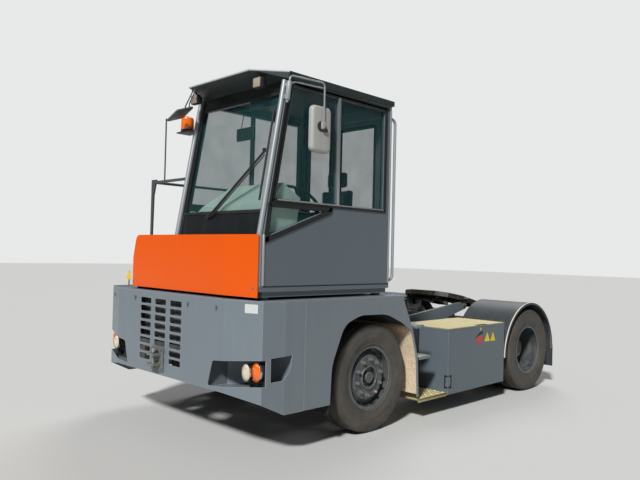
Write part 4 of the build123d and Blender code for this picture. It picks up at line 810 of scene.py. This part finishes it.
socket = [rod((1.194, -2.27, 2.9), (1.196, -2.252, 3.055), 0.022, 20, 0.003),
          slab((1.15, -2.285, 2.915), (1.19, -2.24, 2.945), 0.003),
          slab((1.15, -2.275, 3.015), (1.19, -2.23, 3.04), 0.003),
          rod((1.194, -2.272, 2.88), (1.194, -2.27, 2.9), 0.012, 6, 0.001)]
piece("mirror_socket", socket, rail_finish)
upper_arm = [(1.196, -2.25, 3.05), (1.196, -2.245, 3.108), (1.238, -1.885, 3.108), (1.238, -1.885, 2.74)]
bent_tube("mirror_arm_upper", upper_arm, 0.008, 0.035, tube_finish)
lower_arm = [(1.196, -2.25, 3.02), (1.196, -2.2, 3.062), (1.238, -1.9, 3.062)]
bent_tube("mirror_arm_lower", lower_arm, 0.006, 0.02, tube_finish)
kerb_turn = Matrix.Rotation(math.radians(20), 4, "X") @ Matrix.Rotation(math.radians(-18), 4, "Y")
kerb_head = slab((-0.11, -0.09, -0.012), (0.11, 0.09, 0.012), 0.01, 3)
kerb_glass = slab((-0.098, -0.078, -0.0135), (0.098, 0.078, -0.0115), 0.0005)
for part in (kerb_head, kerb_glass):
    move(part, (-0.025, -2.5, 2.915), kerb_turn)
kerb_grey = enamel("dark_grey_mirror_case", "#4c4f51", "#6a6863")
dull_silver = enamel("dusty_convex_mirror_glass", "#5f6264", "#77756f", rough=0.45, dusty=0.5, metallic=0.6)
piece("kerb_mirror_case", [kerb_head], kerb_grey)
piece("kerb_mirror_glass", [kerb_glass], dull_silver)
stay_y = -2.467
for index, (foot, foot_z, top) in enumerate(((0.005, 2.936, 0.12), (0.075, 2.957, 0.16))):
    run = [(foot, stay_y, foot_z), (foot, stay_y, foot_z + 0.045), (top, stay_y, 3.1), (top, stay_y, 3.136)]
    bent_tube(f"kerb_mirror_stay_{index + 1}", run, 0.0055, 0.016, kerb_grey)


# Lid and bottom step: chequer plate under faded cream-yellow paint, darker between its raised bars, whose
# paler cream is a painted highlight.
# The upper rungs are dull zinc-plated pads on the same black stringer.
def raised_bars(low, high, pitch):
    """Chequer plate's bars, leaning by turns to left and right, 42 mm long so that they show."""
    made = bmesh.new()
    half_size = Matrix.Diagonal((0.021, 0.009, 0.002, 1))
    columns = int((high[0] - low[0]) / pitch)
    rows = int((high[1] - low[1]) / pitch)
    for cell in range(columns * rows):
        column, row = divmod(cell, rows)
        x = low[0] + (column + 0.5) * (high[0] - low[0]) / columns
        y = low[1] + (row + 0.5) * (high[1] - low[1]) / rows
        lean = math.pi / 4 if (column + row) % 2 else -math.pi / 4
        place = Matrix.Translation((x, y, low[2])) @ Matrix.Rotation(lean, 4, "Z") @ half_size
        bmesh.ops.create_cone(made, cap_ends=True, segments=6, radius1=1, radius2=0.6, depth=2, matrix=place)
    return made


chequer = enamel("faded_cream_chequer_paint", "#9c9164", "#8d8568", rough=0.55, dusty=0.6)
# the raised bars' paler cream is a painted highlight on their tops
bars_painted_highlight = enamel("cream_bars_painted_highlight", "#fff3b8", "#ece2b4", rough=0.45, dusty=0.15)
coat(chequer, "side_box_lid")
lid_top = 0.8943
lid_bars = raised_bars((0.61, 0.065, lid_top), (1.24, 1.215, lid_top), 0.047)
piece("lid_raised_bars", [lid_bars], bars_painted_highlight, "side_box_lid")
# the finger slot is a thin black plate on the lid: painted shade where the slot opens
notch = [(x, y, lid_top) for x, y in rectangle(1.196, 1.251, 0.62, 0.84)]
piece("lid_finger_slot_painted_shade", [plate(notch, (0, 0, 0.0022), 0.02)], black_rubber, body="side_box_lid")
step_front, step_back, step_top = -0.445, 0.055, 0.2255
tread = [slab((0.862, step_front, 0.206), (1.235, step_back, 0.224), 0.003),
         slab((1.226, step_front, 0.186), (1.235, step_back, 0.222), 0.002)]
low_step = piece("bottom_step", tread, chequer)
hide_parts("entry_steps")
step_bars = raised_bars((0.875, step_front + 0.01, step_top), (1.228, step_back - 0.01, step_top), 0.045)
piece("step_raised_bars", [step_bars], bars_painted_highlight)
stringer = [slab((0.86, step_front, 0.2), (0.868, step_back, 0.87), 0.002),
            slab((0.86, -0.465, 0.84), (0.868, -0.305, 0.93), 0.002)]
piece("step_stringer", stringer, chassis_paint)
rungs = []
for low_y, high_y, top in ((-0.405, -0.2, 0.64), (-0.47, -0.33, 0.96)):
    rungs.append(slab((0.866, low_y, top - 0.034), (1.205, high_y, top), 0.007, 3))
    rungs += [rod((x, low_y + 0.02, top), (x, high_y - 0.02, top), 0.003, 8)
              for x in [0.9 + 0.045 * n for n in range(7)]]
piece("step_rungs", rungs, zinc)


# Side box: folded sheet with a recessed latch at its lower front corner.
# Its plates are blank: a red diamond with a black half, a small yellow spot and two yellow triangles.
def on_box(points):
    """A thin plate stuck on the box's outer face."""
    return plate([(box_face + 0.0002, y, z) for y, z in points], (0.0006, 0, 0))


box_face, box_front = 1.246, 0.055
latch_rim = []
# height of each bar's ends, where it starts on the outer face, how far it stops short of it on the front
for low_z, high_z, start, short in ((0.264, 0.28, 0.067, 0.002), (0.384, 0.4, 0.067, 0.002),
                                    (0.264, 0.4, 0.102, 0.032)):
    latch_rim += [slab((box_face - 0.001, start, low_z), (box_face + 0.003, 0.118, high_z), 0.001),
                  slab((box_face - 0.045, box_front - 0.003, low_z),
                       (box_face - short, box_front + 0.001, high_z), 0.001)]
piece("latch_rim", latch_rim, black_rubber)
latch = [slab((box_face, box_front + 0.02, 0.285), (box_face + 0.0025, 0.098, 0.38), 0.001),
         rod((box_face, 0.075, 0.332), (box_face + 0.0035, 0.075, 0.332), 0.01, 16)]
piece("latch_plate", latch, zinc)
red_plate = enamel("faded_red_plate", "#b8332f", "#c9877e", dusty=0.4)
diamond = on_box([(0.59, 0.745), (0.675, 0.67), (0.765, 0.738), (0.675, 0.78)])
piece("blank_red_diamond", [diamond], red_plate)
black_half = on_box([(0.59, 0.748), (0.672, 0.783), (0.745, 0.8), (0.735, 0.828), (0.65, 0.8)])
piece("blank_black_half", [black_half], black_rubber)
spot = [(0.688, 0.842), (0.7, 0.833), (0.712, 0.842), (0.712, 0.86), (0.7, 0.869), (0.688, 0.86)]
marks = [on_box(spot),
         on_box([(0.782, 0.704), (0.842, 0.806), (0.902, 0.7)]),
         on_box([(0.912, 0.7), (0.968, 0.802), (1.022, 0.696)])]
piece("blank_yellow_plates", marks, yellow_plate)


# Rear fenders and flaps: black moulded half-rounds on tube stays, with rubber flaps behind.
# A pale rubber lip runs round each fender's outer edge.
fender_black = enamel("black_fender_plastic", "#30363a", "#66635b", dusty=0.35)
coat(fender_black, "rear_fenders", "mud_flaps")
pale_rubber = enamel("pale_rubber_lip", "#d6d1c6", "#a39d8f", rough=0.6, dusty=0.5)
lip_x, lip_y, lip_z, lip_radius = 1.2405, 1.885, 0.47, 0.624
fender_lips = []
for side in (1, -1):
    lip = bmesh.new()
    bmesh.ops.create_circle(lip, cap_ends=True, segments=8, radius=0.0095)
    move(lip, (side * lip_x, lip_y - lip_radius, lip_z))
    bmesh.ops.spin(lip, geom=lip.faces[:], cent=(0, lip_y, lip_z), axis=(1, 0, 0), angle=-math.pi, steps=64)
    bmesh.ops.recalc_face_normals(lip, faces=lip.faces)
    fender_lips.append(lip)
piece("fender_lips", fender_lips, pale_rubber)


# Tail lamps: red lenses with an amber and a clear end, in black cases on the rear beam.
# Like the front ones they are moulded plastic with flutes inside.
coat(lamp_case, "tail_lamps")
beam_face, lens_low, lens_high = 2.695, 0.7703, 0.8403
for side, name in ((1, "left"), (-1, "right")):
    for part, x0, x1, finish, slot in (
        ("red", 0.69, 0.83, red_lens, "red_lens"),
        ("amber", 0.834, 0.905, amber_lens, "amber_lens"),
        ("clear", 0.909, 0.97, clear_lens, "lamp_lens"),
    ):
        low_x, high_x = sorted((side * x0, side * x1))
        face = slab((low_x, beam_face - 0.012, lens_low), (high_x, beam_face, lens_high), 0.004, 3)
        piece(f"tail_lens_{part}_{name}", [face], finish)


# Fifth wheel: a cast horseshoe, black with old grease, lighter in patches.
# It tilts on two pins; a steel ring lines the throat and a pull handle works the jaws.
grease = casting("greased_casting", "#1f1c1a", "#5c5348", 0.35)
coat(grease, "fifth_wheel")
break_edges(0.006, "fifth_wheel")
pitch_pin_y, pitch_pin_z, handle_z = 1.665, 1.025, 0.076
tilt = Matrix.Rotation(math.radians(-12.7), 4, "X")
jaw_section = [(0.086, 0.026), (0.0995, 0.026), (0.1015, 0.03), (0.1015, 0.052), (0.099, 0.056)]
jaw = turned(jaw_section, (0, 0, 0), 48, "Z")
handle = [rod((0.15, -0.07, handle_z), (0.53, -0.07, handle_z), 0.008, 12, 0.002),
          rod((0.53, -0.1, handle_z), (0.53, -0.04, handle_z), 0.008, 12, 0.002)]
webs = [slab((x - 0.006, -0.36, 0.006), (x + 0.006, 0.2, 0.082), 0.002) for x in (-0.21, 0.21)]
webs.append(rod((-0.21, -0.16, 0.035), (0.21, -0.16, 0.035), 0.02, 20))
for part in (jaw, *handle, *webs):
    move(part, (0, pitch_pin_y, pitch_pin_z), tilt)
piece("jaw_webs", webs, grease, "fifth_wheel")
piece("kingpin_jaw_ring", [jaw], worn_steel, "fifth_wheel")
piece("jaw_handle", handle, worn_steel, "fifth_wheel")


# Tanks: folded sheet boxes. The fuel tank hangs in two steel straps and has a moulded cap with a bar grip.
# The hydraulic tank has a breather and two hose unions on its lid.
tank_right, tank_left, tank_low, tank_top = -1.2, -0.6, 0.33, 0.88
strap_face, straps = tank_right - 0.003, []
for y in (0.1, 0.84):
    y0, y1 = y - 0.02, y + 0.02
    straps += [slab((strap_face, y0, tank_low), (strap_face + 0.004, y1, tank_top), 0.001),
               rod((tank_right - 0.01, y, 0.6), (tank_right, y, 0.6), 0.008, 6, 0.001)]
    straps += [slab((strap_face, y0, z), (tank_left, y1, z + 0.004), 0.001)
               for z in (tank_top - 0.001, tank_low - 0.003)]
piece("tank_straps", straps, zinc, crease=25)
cap_section = [(0.0, 0.0), (0.0, 0.045), (0.012, 0.045), (0.012, 0.052), (0.034, 0.05), (0.038, 0.046),
               (0.038, 0.0)]
cap = turned(cap_section, (-0.9, 0.3, tank_top), 36, "Z")
bar_grip = slab((-0.94, 0.294, tank_top + 0.036), (-0.86, 0.306, tank_top + 0.05), 0.003)
piece("fuel_cap", [cap, bar_grip], lamp_case)
oil_lid = 1.13
breather = [(0.0, 0.0), (0.0, 0.032), (0.01, 0.032), (0.01, 0.04), (0.045, 0.038), (0.05, 0.03),
            (0.05, 0.0)]
fittings = [turned(breather, (-0.2, 0.35, oil_lid), 32, "Z")]
for x in (0.1, 0.22):
    fittings += [rod((x, 0.3, oil_lid), (x, 0.3, oil_lid + 0.022), 0.024, 6, 0.002),
                 rod((x, 0.3, oil_lid + 0.02), (x, 0.3, oil_lid + 0.04), 0.015, 16, 0.002)]
hardware("oil_tank_fittings", fittings)


# Lift arm pins and cylinders: turned steel pin ends with grease nipples on the arm's sides.
# The cylinders' rods are polished and chromed.
polished = enamel("polished_rod", "#b9bcbe", "#55524c", rough=0.15, dusty=0.2, metallic=1.0)
coat(polished, "lift_rods")
pins = []
for side in (1, -1):
    for y, z, radius in ((0.345, 0.88, 0.026), (pitch_pin_y, pitch_pin_z, 0.036)):
        pins += [rod((side * 0.419, y, z), (side * 0.434, y, z), radius, 28, 0.003),
                 rod((side * 0.43, y, z), (side * 0.446, y, z), 0.006, 8, 0.001)]
piece("lift_pin_ends", pins, worn_steel, "lift_arm")
